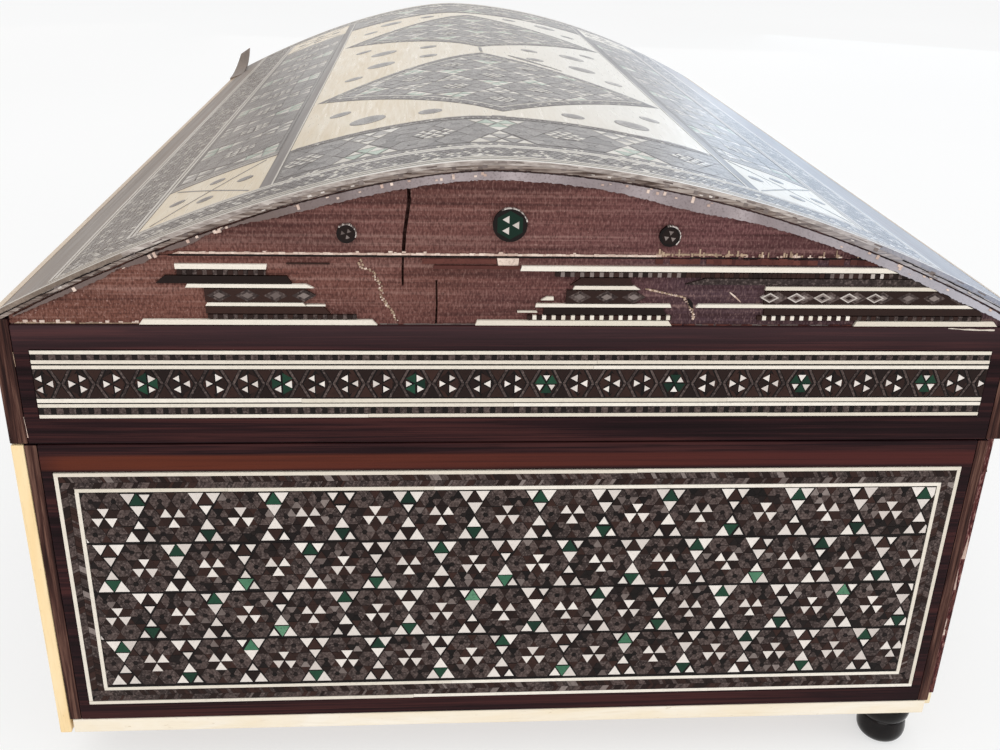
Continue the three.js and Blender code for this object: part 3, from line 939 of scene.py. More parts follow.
for name, place in faces.items():
    reach = face_reach[name]
    outer_reach = reach - (half_width - outer_ring[1][0])
    inner_reach = reach - (half_width - inner_ring[1][0])
    strings = Pattern()
    # on the near end the level strings are jointed where the photograph shows it
    cuts = ([24.0], [-22.0], [-59.0, -17.6]) if name == "near" else (None, None, None)
    ring_strings(strings, outer_reach, outer_low, outer_high, 90, *cuts[:2])
    ring_strings(strings, inner_reach, inner_low, inner_high, 80, cuts[2])
    lay_tiles(f"strings_{name}", strings, place, mosaic_palette, 0.05, inlay_depth,
              (f"outer_line_{name}", f"inner_line_{name}"))

    band = Pattern()
    band_out = outer_reach - string_room
    for v0, v1 in ((outer_low + string_room, inner_low), (inner_high, outer_high - string_room)):
        band.merge(border_run(-band_out, band_out, v0, v1))
    for u0, u1 in ((-band_out, -inner_reach), (inner_reach, band_out)):
        band.merge(border_run(u0, u1, inner_low, inner_high))
    lay_tiles(f"border_tiles_{name}", band, place, mosaic_palette)

    field_reach = reach - field_margin
    before = 2 * math.ceil((field_reach + first_star[0]) / star_pitch / 2) + 2
    columns = before + math.ceil((field_reach - first_star[0]) / star_pitch) + 2
    first = (first_star[0] - star_pitch * before, first_star[1])
    middles, row, column = star_grid(star_pitch, star_row_pitch, first, 4, columns)
    # the two upper rows turn their colours one way and the two lower rows the other
    upper_green = (column + (row < 2)) % 2 == 0
    picture = np.where(row == 3, (column + 1) % 2, rng.random(len(row)) < 0.65)
    stars = star_sheet(star_side, middles, upper_green, picture)
    stars = stars.clipped(box_limits(-field_reach, field_reach, field_low, field_high))
    lay_tiles(f"star_tiles_{name}", stars, place, mosaic_palette)
    for node in (f"star_mosaic_{name}", f"border_band_{name}", f"frieze_inlay_{name}"):
        set_material(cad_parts[node].data, ground)

# Frieze of the lid

frieze_low, frieze_high = (corner[2] - base_z for corner in node_box("frieze_inlay_near"))
frieze_margin = half_width - node_box("frieze_inlay_near")[1][0]
rosette_pitch = 6.4
first_rosette = (-72.5, 84.95)
quarter_turn = np.array([[0.0, 1.0], [-1.0, 0.0]])


def frieze(reach):
    """The lid's frieze: strings and dotted strips above and below a row of small rosettes. Heights are
    above the underside of the base."""
    run = Pattern()
    for v0, v1, mean in ((77.7, 78.45, 60), (79.95, 80.7, 120), (80.95, 81.8, 70), (88.05, 88.8, 75),
                         (89.1, 89.85, 110), (91.1, 91.85, 90)):
        add_string(run, -reach, reach, v0, v1, mean, step=0.05)
    for v0, v1 in ((78.55, 79.85), (89.95, 91.0)):
        dotted_run(run, -reach, reach, v0, v1, 2.35, DOT, HORN, 0.42)
    count = 2 * int(reach / rosette_pitch) + 8
    before = 4 * math.ceil((reach + first_rosette[0]) / rosette_pitch / 4)
    x = first_rosette[0] - rosette_pitch * before + rosette_pitch * np.arange(count)
    middles = joined(x, first_rosette[1])
    angles = np.arange(7) * math.pi / 3 + math.pi / 6
    corners = on_circle(angles, 2.3)
    choice = rng.integers(0, 2, count)
    upright = np.zeros(count, bool)
    if reach < half_width:
        # from the left end: R points one to the right, L to the left, and T and B up and down
        seen = "RLLLRLRRRRLLLRLTRRLBRLRTRLLTL"
        shown = slice(before - 3, before - 3 + len(seen))
        choice[shown] = np.isin(list(seen), ["R", "T"])
        upright[shown] = np.isin(list(seen), ["T", "B"])
    green = np.arange(count) % 4 == 0
    for i in range(6):
        shape = np.stack([np.zeros(2), corners[i], corners[i + 1]])
        shapes = np.where(upright[:, None, None], shape @ quarter_turn, shape)
        placed = middles[:, None] + shapes + rng.normal(0, 0.05, (count, 1, 2))
        pale = (i % 2) == choice
        kinds = np.where(pale, IVORY, np.where(green, GREEN, WOOD))
        run.add(placed, kinds, np.where(pale, rng.uniform(0.2, 0.3, count), 0.03), rise=0.02)
    # between two rosettes an hourglass of dark wood, with slanting slivers of horn and wood beside it
    cross = middles + np.array([rosette_pitch / 2, 0])
    half = 2.95
    parts = [(WOOD, 0.05, [(1.5, half), (0, 0.3), (-1.5, half)]),
             (HORN, 0.04, [(0, 0), (1.5, half), (2.1, half), (0.6, 0)]),
             (WOOD, 0.05, [(0.8, 0), (2.35, half), (3.3, half), (1.5, 0)])]
    for sign in (1, -1):
        for side in (1, -1):
            for kind, gap, corners in parts[0 if side > 0 else 1:]:
                shape = np.array(corners) * (side, sign)
                run.add(cross[:, None] + (shape[::-1] if side * sign > 0 else shape), kind, gap)
    return run.clipped(box_limits(-reach, reach, frieze_low, frieze_high))


for name, place in faces.items():
    reach = face_reach[name] - frieze_margin
    lay_tiles(f"frieze_tiles_{name}", frieze(reach), place, mosaic_palette)

# Veneer of the dome, in plan. Lengths run from the near edge.

dome_length = 2 * half_length
end_tiles = (14.6, 39.4)  # from the near edge, as the next three
end_lines = (13.1, 14.5), (39.5, 41.8)
side_tiles_start = 46.4
corner_middle = 27.2


def dome_ground(name, x0, x1, y0, y1, material, slot, replaced=()):
    """A curved plate between two widths: the arch at each station, above and a skin's thickness below,
    closed all round."""
    x = np.linspace(x0, x1, max(2, math.ceil((x1 - x0) / 2) + 1))
    lines = []
    for depth in (0, inlay_depth):
        px, pz = arch_point(x, depth)
        lines += [joined(px, y, pz) for y in (y0, y1)]
    return closed_strip(name, lines, material, replaced)


def on_dome(pattern):
    """From plan with y from the near edge to plan with y from the middle."""
    return pattern.moved(lambda p: p - np.array([0.0, half_length]))


def on_side(side, x0, x1):
    """Two distances from the middle line as a span on one side of the dome."""
    return (x0, x1) if side == "right" else (-x1, -x0)


centre_span = (glue_line - centre_x["left"], centre_x["right"] - glue_line)
end_spans = (("near", -frame_y + glue_line, -middle_y - glue_line),
             ("far", middle_y + glue_line, frame_y - glue_line))
for side in ("left", "right"):
    panel_span = on_side(side, band_x[side], frame_x[side] - glue_line)
    band_span = on_side(side, centre_x[side], band_x[side] - glue_line)
    node = f"dome_side_mosaic_{side}"
    dome_ground(f"{node}_skin", *panel_span, -middle_y, middle_y, dome_ground_tile, "star_mosaic", (node,))
    node = f"dome_band_{side}"
    dome_ground(f"{node}_skin", *band_span, -frame_y + glue_line, frame_y - glue_line, dome_ebony, "ebony",
                (node,))
    for end, y0, y1 in end_spans:
        node = f"dome_corner_panel_{end}_{side}"
        dome_ground(f"{node}_skin", *panel_span, y0, y1, panel_bone, "bone", (node,))
for end, y0, y1 in end_spans:
    node = f"dome_end_mosaic_{end}"
    dome_ground(f"{node}_skin", *centre_span, y0, y1, dome_ground_tile, "star_mosaic", (node,))
dome_ground("dome_centre_panel_skin", *centre_span, -middle_y, middle_y, panel_bone, "bone",
            ("dome_centre_panel",))
# the border frame as four plates, two along the eaves and two along the ends
pieces = [
    dome_ground(f"dome_frame_{side}", *on_side(side, frame_x[side], half_width), -half_length, half_length,
                rosewood_eave, "dark_mosaic")
    for side in ("left", "right")
]
for end, y0, y1 in (("near", -half_length, -frame_y), ("far", frame_y, half_length)):
    dome_ground(f"dome_frame_{end}", -frame_x["left"], frame_x["right"], y0, y1, dome_ground_tile,
                "dark_mosaic")
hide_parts("dome_border_frame")


def fine_band(u0, u1, v0, v1, size=1.5, pale=0.14):
    """Fine grey mosaic: rows of small triangles, mostly horn and pewter with a few pale ones."""
    rows = max(1, round((v1 - v0) / size))
    height = (v1 - v0) / rows
    count = int((u1 - u0) / size) + 3
    r, k = np.meshgrid(np.arange(rows), np.arange(count), indexing="ij")
    x = u0 + size * (k - 1 + 0.5 * (r % 2))
    corner = joined(x, v0 + height * r)[..., None, :]
    up = [(0, 0), (size, 0), (size / 2, height)]
    down = [(size, 0), (1.5 * size, height), (size / 2, height)]
    band = Pattern()
    for shape in (up, down):
        pick = rng.random(x.size)
        kinds = np.select([pick < pale, pick < 0.5, pick < 0.65], [IVORY, HORN, PEWTER], WOOD)
        band.add(corner + np.array(shape), kinds, 0.05)
    return band.clipped(box_limits(u0, u1, v0, v1))


dome_strings = Pattern()
dome_bands = Pattern()
band_end = {"left": frame_x["left"] + 12.8, "right": frame_x["right"] + 12.5}
for side in ("left", "right"):
    edge, outer = frame_x[side], band_end[side]
    for x0, x1, inset in ((edge + 0.1, edge + 0.8, 11), (edge + 1.2, edge + 2.0, 11),
                          (outer + 0.1, outer + 0.9, 3), (outer + 1.2, outer + 2.0, 3),
                          (centre_x[side] + 0.05, centre_x[side] + 0.45, 12.9)):
        add_string(dome_strings, *on_side(side, x0, x1), inset, dome_length - inset, 60)
    add_string(dome_strings, *on_side(side, 97.6, 99.95), 0.1, dome_length - 0.1, 80, RAW)
    dome_bands.merge(turned(fine_band(11, dome_length - 11, *on_side(side, edge + 2.1, outer), 1.4)))
for far in (False, True):
    def from_end(y0, y1):
        """Two distances from one end as a span from the near edge."""
        return (dome_length - y1, dome_length - y0) if far else (y0, y1)

    for y0, y1, past_left, past_right in (
        (0.05, 0.95, 24.5, 32), (1.6, 2.2, 14.5, 14.5), (2.9, 3.5, 13.7, 13.4),
        (10.9, 11.6, 1.9, 1.9), (12.1, 12.9, 0, 0),
    ):
        add_string(dome_strings, -frame_x["left"] - past_left, frame_x["right"] + past_right,
                   *from_end(y0, y1), 50, step=0.03)
    dome_bands.merge(fine_band(-band_end["left"], band_end["right"], *from_end(3.6, 10.8), 1.3, 0.17))
    # fine lines between the corner panels and the side mosaics
    for side in ("left", "right"):
        for y0, y1, kind in ((41.9, 42.9, WOOD), (43.1, 43.6, STRING), (43.8, 45.6, HORN),
                             (45.8, 46.2, STRING)):
            x0, x1 = on_side(side, band_x[side] + 0.1, frame_x[side] - 0.1)
            add_string(dome_bands, x0, x1, *from_end(y0, y1), 40, kind, 0.03)


def cut_across(pattern, step=3.0):
    """Cuts long level pieces at regular stations, so that they can follow the arch."""
    result = Pattern()
    for points, counts, kinds, tone, gap, rise in pattern.batches:
        width = points[..., 0].max(1) - points[..., 0].min(1)
        long = width > 2 * step
        if (~long).any():
            kept = [values[~long] for values in (kinds, tone, gap, rise)]
            result.batches.append([points[~long], counts[~long], *kept])
        if long.any():
            whole = Pattern()
            kept = [kinds[long], tone[long], 0 * gap[long], rise[long]]
            whole.batches.append([points[long], counts[long], *kept])
            for x in np.arange(-102, 102, step):
                result.merge(whole.clipped([(-1, 0, -x), (1, 0, x + step)]))
    return result


lay_tiles("dome_strings", on_dome(cut_across(dome_strings)), place_dome, dome_palette, 0.06, 0.3,
          relief=0, arched=True)
lay_tiles("dome_border_tiles", on_dome(cut_across(dome_bands)), place_dome, dome_palette,
          arched=True)

# Large stars of the dome
large_side = 13.1
large_pitch = 26.5
large_row_pitch = 22.9


def large_stars(side, middles, column):
    """Stars of the dome, twice the size of those on the walls and more finely cut."""
    return star_sheet(side, middles, column % 2 == 0, rng.random(len(column)) < 0.5, cuts=3, heart=1.0,
                      heart_cuts=2, jitter=0.08, turned_kinds=(PALE_GREEN, PEWTER))


near_middles, _, column = star_grid(large_pitch, large_row_pitch, (-44 - large_pitch, 27), 1, 6, 1)
end_stars = large_stars(large_side, near_middles, column)
end_reach = (0.6 - centre_x["left"], centre_x["right"] - 0.6)
end_frame = end_stars.clipped(box_limits(*end_reach, *end_tiles))
for y0, y1 in end_lines:
    end_frame.merge(fine_band(*end_reach, y0, y1, 1.1, 0.2 if y0 < 20 else 0.05))
for name, flip in (("near", 1), ("far", -1)):
    turned_round = end_frame
    if flip < 0:
        turned_round = end_frame.moved(lambda p: np.array([sum(end_reach), dome_length]) - p)
    lay_tiles(f"dome_end_tiles_{name}", on_dome(turned_round), place_dome, dome_palette,
              arched=True)

for name, sign in (("left", -1), ("right", 1)):
    side_middles, _, column = star_grid(large_pitch, large_row_pitch, (64 - large_pitch, 0), 1, 10, 1)
    stars = large_stars(large_side, side_middles, column)
    half = (frame_x[name] - band_x[name]) / 2
    side_ends = (side_tiles_start, dome_length - side_tiles_start)
    stars = stars.clipped(box_limits(*side_ends, 0.9 - half, half - 0.9))
    side_tiles = turned(stars).moved(lambda p: p + np.array([sign * (band_x[name] + half), 0.0]))
    for x0, x1 in ((band_x[name] + 0.2, band_x[name] + 0.7), (frame_x[name] - 0.6, frame_x[name] - 0.2)):
        add_string(side_tiles, *on_side(name, x0, x1), *side_ends, 70, HORN)
    lay_tiles(f"dome_side_tiles_{name}", on_dome(side_tiles), place_dome, dome_palette,
              arched=True)

# Lozenges of the centre panel
lozenge_x = -2.2
lozenge_middles = (96.8, dome_length - 96.8)
lozenge_half = (45.2, 48.4)
lozenge_border = 4.2


def lozenge_limits(middle, inset):
    """The four half planes of a lozenge, moved in by the inset."""
    a, b = lozenge_half
    length = math.hypot(1 / a, 1 / b)
    result = []
    for sx in (1, -1):
        for sy in (1, -1):
            nx, ny = sx / a / length, sy / b / length
            result.append((nx, ny, 1 / length - inset + nx * lozenge_x + ny * middle))
    return result


for name, middle in zip(("near", "far"), lozenge_middles):
    grid, _, column = star_grid(21.0, 18.3, (lozenge_x + 1 - 3 * 21.0, middle - 3 * 18.3 + 4), 7, 7)
    lozenge = large_stars(10.4, grid, column).clipped(lozenge_limits(middle, lozenge_border))
    a, b = lozenge_half
    corners = np.array([(a, middle), (0, middle + b), (-a, middle), (0, middle - b)]) + [lozenge_x, 0]
    for i in range(4):
        start, end = corners[i], corners[(i + 1) % 4]
        length = np.hypot(*(end - start))
        direction = (end - start) / length
        inward = np.array([-direction[1], direction[0]])
        run = fine_band(0, length, 0.3, lozenge_border - 0.9, 1.2, 0.06)
        run.add(rectangles(0, length, lozenge_border - 0.75, lozenge_border - 0.25), STRING, 0.02)
        run = run.clipped([(-1, 1, 0), (1, 1, length)])
        lozenge.merge(run.moved(lambda p: start + p[..., :1] * direction + p[..., 1:] * inward))
    base = Pattern()
    base.add([corners], GROUND, 0.0, 0.5)
    lay_tiles(f"lozenge_ground_{name}", on_dome(cut_across(base)), place_dome, dome_palette, 0.03, 0.3,
              relief=0, arched=True)
    lay_tiles(f"lozenge_tiles_{name}", on_dome(cut_across(lozenge)), place_dome, dome_palette, 0.07, 0.3,
              arched=True)

# Discs let into the bone panels
discs = Pattern()
disc_list = []
for dx, dy, radius in ((30, 42.6, 4.1), (37.2, 27, 2.6), (16, 45.2, 2.7)):
    for middle in lozenge_middles:
        for sx, sy in ((1, 1), (1, -1), (-1, 1), (-1, -1)):
            disc_list.append((lozenge_x + sx * dx, middle + sy * dy, radius))
panel_x = [-(band_x["left"] + frame_x["left"]) / 2, (band_x["right"] + frame_x["right"]) / 2]
for x in panel_x:
    for y in (corner_middle, dome_length - corner_middle):
        for dx, dy in ((0, 7.6), (0, -7), (7, 0), (-7, 0)):
            disc_list.append((x + dx, y + dy, 1.7))
for x, y, radius in disc_list:
    discs.add(ring_points([(x, y)], radius, 24, 0), HORN, 0.03)
    discs.add(ring_points([(x, y)], 0.88 * radius, 24, 0), PEWTER, 0.03, rise=0.01)
    discs.add(ring_points([(x, y)], 0.62 * radius, 6, 0), WOOD, 0.03, rise=0.02)
for x in panel_x:
    for y in (corner_middle, dome_length - corner_middle):
        for lean in (1, -1):
            # thin diagonals between opposite corners of a corner panel
            start = np.array([x - 9.6, y - lean * 13])
            end = np.array([x + 9.6, y + lean * 13])
            along_line = (end - start) / np.hypot(*(end - start))
            aside = 0.22 * np.array([-along_line[1], along_line[0]])
            discs.add([start - aside, end - aside, end + aside, start + aside], HORN, 0.0)
lay_tiles("dome_discs", on_dome(cut_across(discs)), place_dome, dome_palette, 0.05, 0.3,
          arched=True)

# Open cracks and dark glue lines of the dome
dome_cracks = Pattern()


def path_lengths(path):
    """A path as an array of points, and how far along it each of them lies."""
    path = np.asarray(path, float)
    return path, np.concatenate([[0], np.cumsum(np.hypot(*np.diff(path, axis=0).T))])


def crack(pattern, path, width, kind=GROUND, rough=0.25):
    """A crack as a run of short quads along a path, each end as wide as given there and a little rough."""
    path, places = path_lengths(path)
    at = np.linspace(0, places[-1], max(3, int(places[-1] / 0.9)))
    middle = np.stack([np.interp(at, places, path[:, i]) for i in (0, 1)], -1)
    middle[1:-1] += rng.normal(0, rough * 0.4 * np.mean(width), (len(at) - 2, 2))
    wide = np.interp(at, places, width) * rng.uniform(1 - rough, 1 + rough, len(at))
    direction = np.gradient(middle, axis=0)
    direction /= np.hypot(direction[:, 0], direction[:, 1])[:, None]
    aside = joined(-direction[:, 1], direction[:, 0]) * wide[:, None] / 2
    right, left = middle - aside, middle + aside
    pattern.add(np.stack([right[:-1], right[1:], left[1:], left[:-1]], 1), kind, 0.0)


for path, width in (
    (((22, 41.6), (28, 41.8), (34, 42.2), (39, 41.9), (41.5, 41.4)), (0.3, 1.0, 1.8, 1.6, 0.5)),
    (((6, 143.5), (9, 140), (14, 133), (20, 126)), (0.6, 2.2, 1.8, 0.5)),
    (((-47, 41.9), (0, 41.9), (22, 41.6)), (0.5, 0.7, 0.6)),
    (((-2.2, 147), (-2.2, 157)), (0.8, 0.8)),
    (((-5, 42.4), (-2, 42.4)), (1.1, 1.1)),
):
    crack(dome_cracks, path, width)
lay_tiles("dome_cracks", on_dome(cut_across(dome_cracks)), place_dome, dome_palette, 0.09, 0.2,
          relief=0, arched=True)


def curled_strip():
    """The far left end of the eave's edging has come loose and curls up: its height above the eave
    grows with the distance from where it still holds to the power of 1.9."""
    count = 24
    share = np.linspace(0, 1, count)
    y = half_length - 30 + 29.6 * share
    lift = 5.6 * share**1.9
    width = 5.2 - 1.2 * share**3
    lean = 1.4 * share**2
    rows = []
    for x_side, z_side in ((0, 0), (1, 0), (1, 1), (0, 1)):
        x = -half_width + 0.15 + lean * 0.3 + x_side * width
        base = arch_point(np.minimum(x, -half_width + 3.6), 0)[1] + 0.1
        rows.append(np.stack([x, y, base + lift + z_side * 0.8 + x_side * lean * 0.8], -1))
    points = np.stack(rows, 1).reshape(-1, 3)
    a = 4 * np.arange(count - 1)[:, None]
    ring = np.arange(4)
    after = (ring + 1) % 4
    quads = joined(a + ring, a + after, a + 4 + after, a + 4 + ring).reshape(-1, 4)
    last = 4 * (count - 1)
    ends = [[3, 2, 1, 0], [last, last + 1, last + 2, last + 3]]
    corners = np.concatenate([quads.ravel(), np.array(ends).ravel()])
    mesh = fill_mesh("curled_eave_strip", points, np.full(len(corners) // 4, 4), corners, [rosewood_eave],
                     smooth_angle=40)
    work = bmesh.new()
    work.from_mesh(mesh)
    bmesh.ops.recalc_face_normals(work, faces=work.faces)
    work.to_mesh(mesh)
    work.free()
    new_object("curled_eave_strip", mesh)


curled_strip()

# Wood, bone and feet


def dressed(node, material, bevel):
    """A merged copy of a solid with softened edges, which stands for it."""
    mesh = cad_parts[node].data.copy()
    mesh.name = f"{node}_dressed"
    work = bmesh.new()
    work.from_mesh(mesh)
    bmesh.ops.remove_doubles(work, verts=work.verts, dist=1e-6)
    bmesh.ops.dissolve_limit(work, angle_limit=math.radians(1), verts=work.verts, edges=work.edges)
    work.to_mesh(mesh)
    work.free()
    set_material(mesh, material)
    piece = new_object(f"{node}_dressed", mesh, (node,))
    edge = piece.modifiers.new("edge", "BEVEL")
    edge.width = bevel * MM
    edge.segments = 2
    edge.limit_method = "ANGLE"
    edge.angle_limit = math.radians(40)
    edge.harden_normals = False
    for polygon in mesh.polygons:
        polygon.use_smooth = False


for node, material in (
    ("base_end_board_near", rosewood_front), ("base_end_board_far", rosewood_x),
    ("base_side_board_left", rosewood_side), ("base_side_board_right", rosewood_right),
    ("lid_end_rail_near", rosewood_x), ("lid_end_rail_far", rosewood_x),
    ("lid_side_rail_left", rosewood_side), ("lid_side_rail_right", rosewood_side),
):
    dressed(node, material, 0.25)
for corner in ("near_left", "far_left", "far_right"):
    dressed(f"corner_strip_{corner}", bone_z, 0.3)
for edge, material in (("near", bone_x), ("far", bone_x), ("left", bone_y), ("right", bone_y)):
    dressed(f"bottom_strip_{edge}", material, 0.3)
for node, material in (("base_floor", carcass_y), ("dome_board", carcass_y),
                       ("tympanum_board_far", sandalwood), ("arch_edging_far", edging)):
    set_material(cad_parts[node].data, material)

# Near tympanum

board_reach = half_width - 3.55  # how far the boards and the edging run towards the eaves
board_back = -half_length + 6


def arch_height(x, depth):
    """Height of the arch at x, moved inward by depth."""
    stations = np.linspace(-half_width, half_width, 801)
    line_x, line_z = arch_point(stations, depth)
    return np.interp(x, line_x, line_z)


def bare_board(name, node, low, high, cracks, rows):
    """A board of the near tympanum between two heights, its face a grid: a little uneven, with level
    waves left by the plane, and open where a crack runs through. The columns bend to follow the cracks,
    by the crack's distance from its own middle times a bell round it."""
    stations = [np.arange(-board_reach, board_reach, 0.7)]
    for path, half, _ in cracks:
        middle = np.mean([p[0] for p in path])
        aside = np.array([half, 1.3 * half, 0.55, 1, 1.6])
        stations += [middle + aside, middle - aside, [middle]]
    stations = np.unique(np.concatenate(stations))
    stations = stations[high(stations) > low(stations) + 0.25]
    v = np.linspace(0, 1, rows)[:, None]
    u = stations[None, :]
    z = low(u) + (high(u) - low(u)) * v
    x = u + 0 * v
    depth = 0.07 * np.sin(z * 4.4 + 0.6 * np.sin(x * 0.13)) + 0.09 * rng.random(x.shape)
    for path, half, floor in cracks:
        path = np.array(path)
        middle = path[:, 0].mean()
        order = np.argsort(path[:, 1])
        line = np.interp(z - base_z, path[order, 1], path[order, 0])
        open_here = (z - base_z >= path[:, 1].min()) & (z - base_z <= path[:, 1].max())
        near = np.exp(-(((u - middle) / 2.2) ** 2))
        x = x + (line - middle) * near
        depth = np.where(open_here & (np.abs(u - middle) <= half * 1.02), floor, depth)
    face_y = -half_length + inlay_depth + depth
    front = joined(x, face_y, z)
    columns = len(stations)
    back = [joined(stations, board_back, limit(stations)) for limit in (low, high)]
    points = np.concatenate([front.reshape(-1, 3), *back])
    r, c = np.meshgrid(np.arange(rows - 1), np.arange(columns - 1), indexing="ij")
    a = (r * columns + c).ravel()
    grid = joined(a, a + 1, a + columns + 1, a + columns)
    k = np.arange(columns - 1)
    top = (rows - 1) * columns
    b_low, b_high = rows * columns, (rows + 1) * columns
    under = joined(b_low + k, b_low + k + 1, k + 1, k)
    over = joined(top + k, top + k + 1, b_high + k + 1, b_high + k)
    behind = joined(b_low + k + 1, b_low + k, b_high + k, b_high + k + 1)
    left = np.concatenate([np.arange(rows) * columns, [b_high, b_low]])
    right = left[::-1] + columns - 1
    quads = np.concatenate([grid, under, over, behind])
    sizes = np.concatenate([np.full(len(quads), 4), [rows + 2, rows + 2]])
    mesh = fill_mesh(name, points, sizes, np.concatenate([quads.ravel(), left, right]), [sandalwood],
                     smooth_angle=35)
    new_object(name, mesh, (node,))


upper_crack = ((-22.4, 135), (-22.4, 125), (-22.3, 121), (-23.2, 115), (-23.5, 110.4))
lower_crack = ((-23.5, 110.6), (-23.6, 108), (-23.6, 105))
small_crack = ((-17.3, 105.9), (-17.2, 101), (-17.4, 96))
rail_top = rail_top_z + glue_line
bare_board(
    "tympanum_upper_bare", "tympanum_upper_board_near",
    lambda x: joint_z + 0.12 + 0.06 * np.sin(x * 1.7) + 0 * x,
    lambda x: arch_height(x, tympanum_depth),
    [(upper_crack, 0.26, 4.0)], 40,
)
bare_board(
    "tympanum_lower_bare", "tympanum_lower_board_near",
    lambda x: rail_top + 0 * x,
    lambda x: np.minimum(arch_height(x, tympanum_depth), joint_z - 0.1 + 0.05 * np.sin(x * 1.3)),
    [(lower_crack, 0.16, 3.0), (small_crack, 0.14, 2.5)], 34,
)


def worn_edging():
    """The near arch's edging, a curved strip with a broken lower edge and chips along its upper one.
    Both edges wander by random steps, and the chips bite in where a slow random wave is high."""
    x = np.arange(-board_reach, board_reach, 0.35)
    slow = np.interp(x, np.arange(-100, 104, 4.0), rng.random(51))
    fast = rng.random(len(x))
    side = np.clip((np.abs(x) - 20) / 70, 0, 1)
    top_depth = tympanum_depth + edging_gap + 0.12 * fast + 0.5 * side * np.clip(slow - 0.6, 0, 1)
    low_depth = tympanum_depth + edging_gap + edging_width - 0.25 * rng.random(len(x))
    low_depth = low_depth - side * 0.9 * np.clip(slow - 0.45, 0, 1)
    low_depth = low_depth + 1.0 * np.exp(-(((x - 30) / 12) ** 2))
    low_depth = low_depth - np.clip((-42 - x) / 12, 0, 1) * (0.35 + 0.55 * slow)
    near_y = -half_length + 0.02 + 0.12 * rng.random(len(x))
    far_y = -half_length + inlay_depth
    lines = []
    for depth in (top_depth, low_depth):
        px, pz = arch_point(x, depth)
        lines += [joined(px, y, np.maximum(pz, rail_top)) for y in (near_y, far_y)]
    closed_strip("worn_edging_near", lines, edging, ("arch_edging_near",), np.tile(slow, 4), 25)


worn_edging()


def under_arch(pattern):
    """Tiles cut off below the edging, by tangents of the arch at many stations."""
    stations = np.linspace(-98, 98, 41)
    x, z = arch_point(stations, tympanum_depth + edging_gap + edging_width - 0.1)
    normal = arch_normal(stations)
    limits = [(n[0], n[2], n[0] * a + n[2] * (b - base_z)) for a, b, n in zip(x, z, normal)]
    return pattern.clipped(limits)


# What is left of the near tympanum's veneer: bands of strings, squares and rhombs, and raw glue lines
remains = Pattern()


def strip(x0, x1, z0, z1, kind=STRING, left=0.0, right=0.0, rise=0.0):
    """A strip whose two ends lean by the given lengths and are a little broken."""
    lean = rng.uniform(-0.3, 0.3, 2)
    shape = [(x0, z0), (x1, z0), (x1 + right + lean[0], z1), (x0 + left + lean[1], z1)]
    remains.add([shape], kind, 0.02, rise=rise)


def squares(x0, x1, z0, z1, pale=HORN):
    """A strip of squares, dark wood and a paler kind by turns."""
    dotted_run(remains, x0, x1, z0, z1, 1.85, WOOD, pale, 0.56)


def rhombs(x0, x1, z0, z1, bright=(), pitch=5.2):
    """Rhombs side by side on dark wood, pale ones at the given places."""
    middles = np.arange(x0 + pitch / 2, x1, pitch)
    half = (z1 - z0) / 2
    shape = np.array([(-pitch / 2 + 0.2, 0), (0, -half), (pitch / 2 - 0.2, 0), (0, half)])
    place = joined(middles, (z0 + z1) / 2)
    for size, kind, gap, rise in ((1, HORN, 0.08, 0.02), (0.5, PEWTER, 0.05, 0.04)):
        remains.add(place[:, None] + size * shape, kind, gap, rise=rise)
    for x in bright:
        for size, kind, gap, rise in ((0.8, LOW_IVORY, 0.05, 0.05), (0.6, PEWTER, 0.05, 0.07),
                                      (0.3, WOOD, 0.02, 0.09)):
            remains.add([(x, (z0 + z1) / 2) + size * shape], kind, gap, rise=rise)
    strip(x0, x1, z0, z1, WOOD)


for ends in ((-72.8, -28.4), (-9.9, 28.2), (64.3, 93.5)):
    strip(*ends, 97.05, 98.1, left=0.6, right=-0.8)
for x0, x1, pale in ((-60, -32.3, HORN), (0, 28, STRING), (44.8, 63.8, STRING), (63.8, 90, HORN)):
    squares(x0, x1, 98.25, 99.15, pale=pale)
for ends in ((-60.3, -37.2), (3, 27), (46, 90)):
    strip(*ends, 99.3, 100.7, WOOD, right=-1)
for ends in ((-60.3, -41.6), (1.5, 27.8), (32.5, 90)):
    strip(*ends, 100.8, 101.5, left=0.4, right=-0.5)
strip(-41.6, -38, 100.8, 101.15)
rhombs(-60.2, -41.8, 101.6, 104.25)
rhombs(7.3, 21, 101.6, 104.25)
rhombs(45.7, 88, 101.6, 104.25, (46.8, 52.0, 57.2, 62.4, 67.6))
for ends in ((-63.7, -40), (8.5, 21.5), (45.7, 80)):
    strip(*ends, 104.4, 105.15, left=0.4, right=-1.4)
for ends in ((-69, -44.1), (8, 20)):
    strip(*ends, 105.25, 106.75, WOOD, left=2, right=-1)
strip(30, 90, 105.5, 106.75, HORN, left=4)
for x0, x1, pale in ((-65, -48.8, HORN), (5, 30, PEWTER), (30, 57, WOOD), (57, 65, PEWTER),
                     (65, 68.6, LOW_IVORY), (68.6, 86, HORN)):
    squares(x0, x1, 106.9, 107.85, pale)
for x0, x1, z0, z1, kind, left, right, rise in (
    (-65.2, -48.7, 108.0, 109.0, STRING, 0, 0, 0), (-1.6, 73, 108.0, 109.0, STRING, 0, -0.6, 0),
    (-18, -1.8, 108.3, 109.0, RED, 0, 0, 0), (-20, -6, 109.2, 110.2, RED, 0, 0, -0.3),
    (-5.8, -2, 109.0, 110.4, RAW, 0, 0, -0.2), (-45, -37, 108.95, 109.25, WOOD, 0, 0, -0.3),
    (-1.9, 2, 99.7, 100.0, STRING, 0, 0, 0), (2.5, 5, 102.2, 102.9, STRING, 1, 0, 0),
    (38.2, 41, 94.6, 94.9, RAW, 0, 0, 0),
):
    strip(x0, x1, z0, z1, kind, left, right, rise)
rail_line = Pattern()
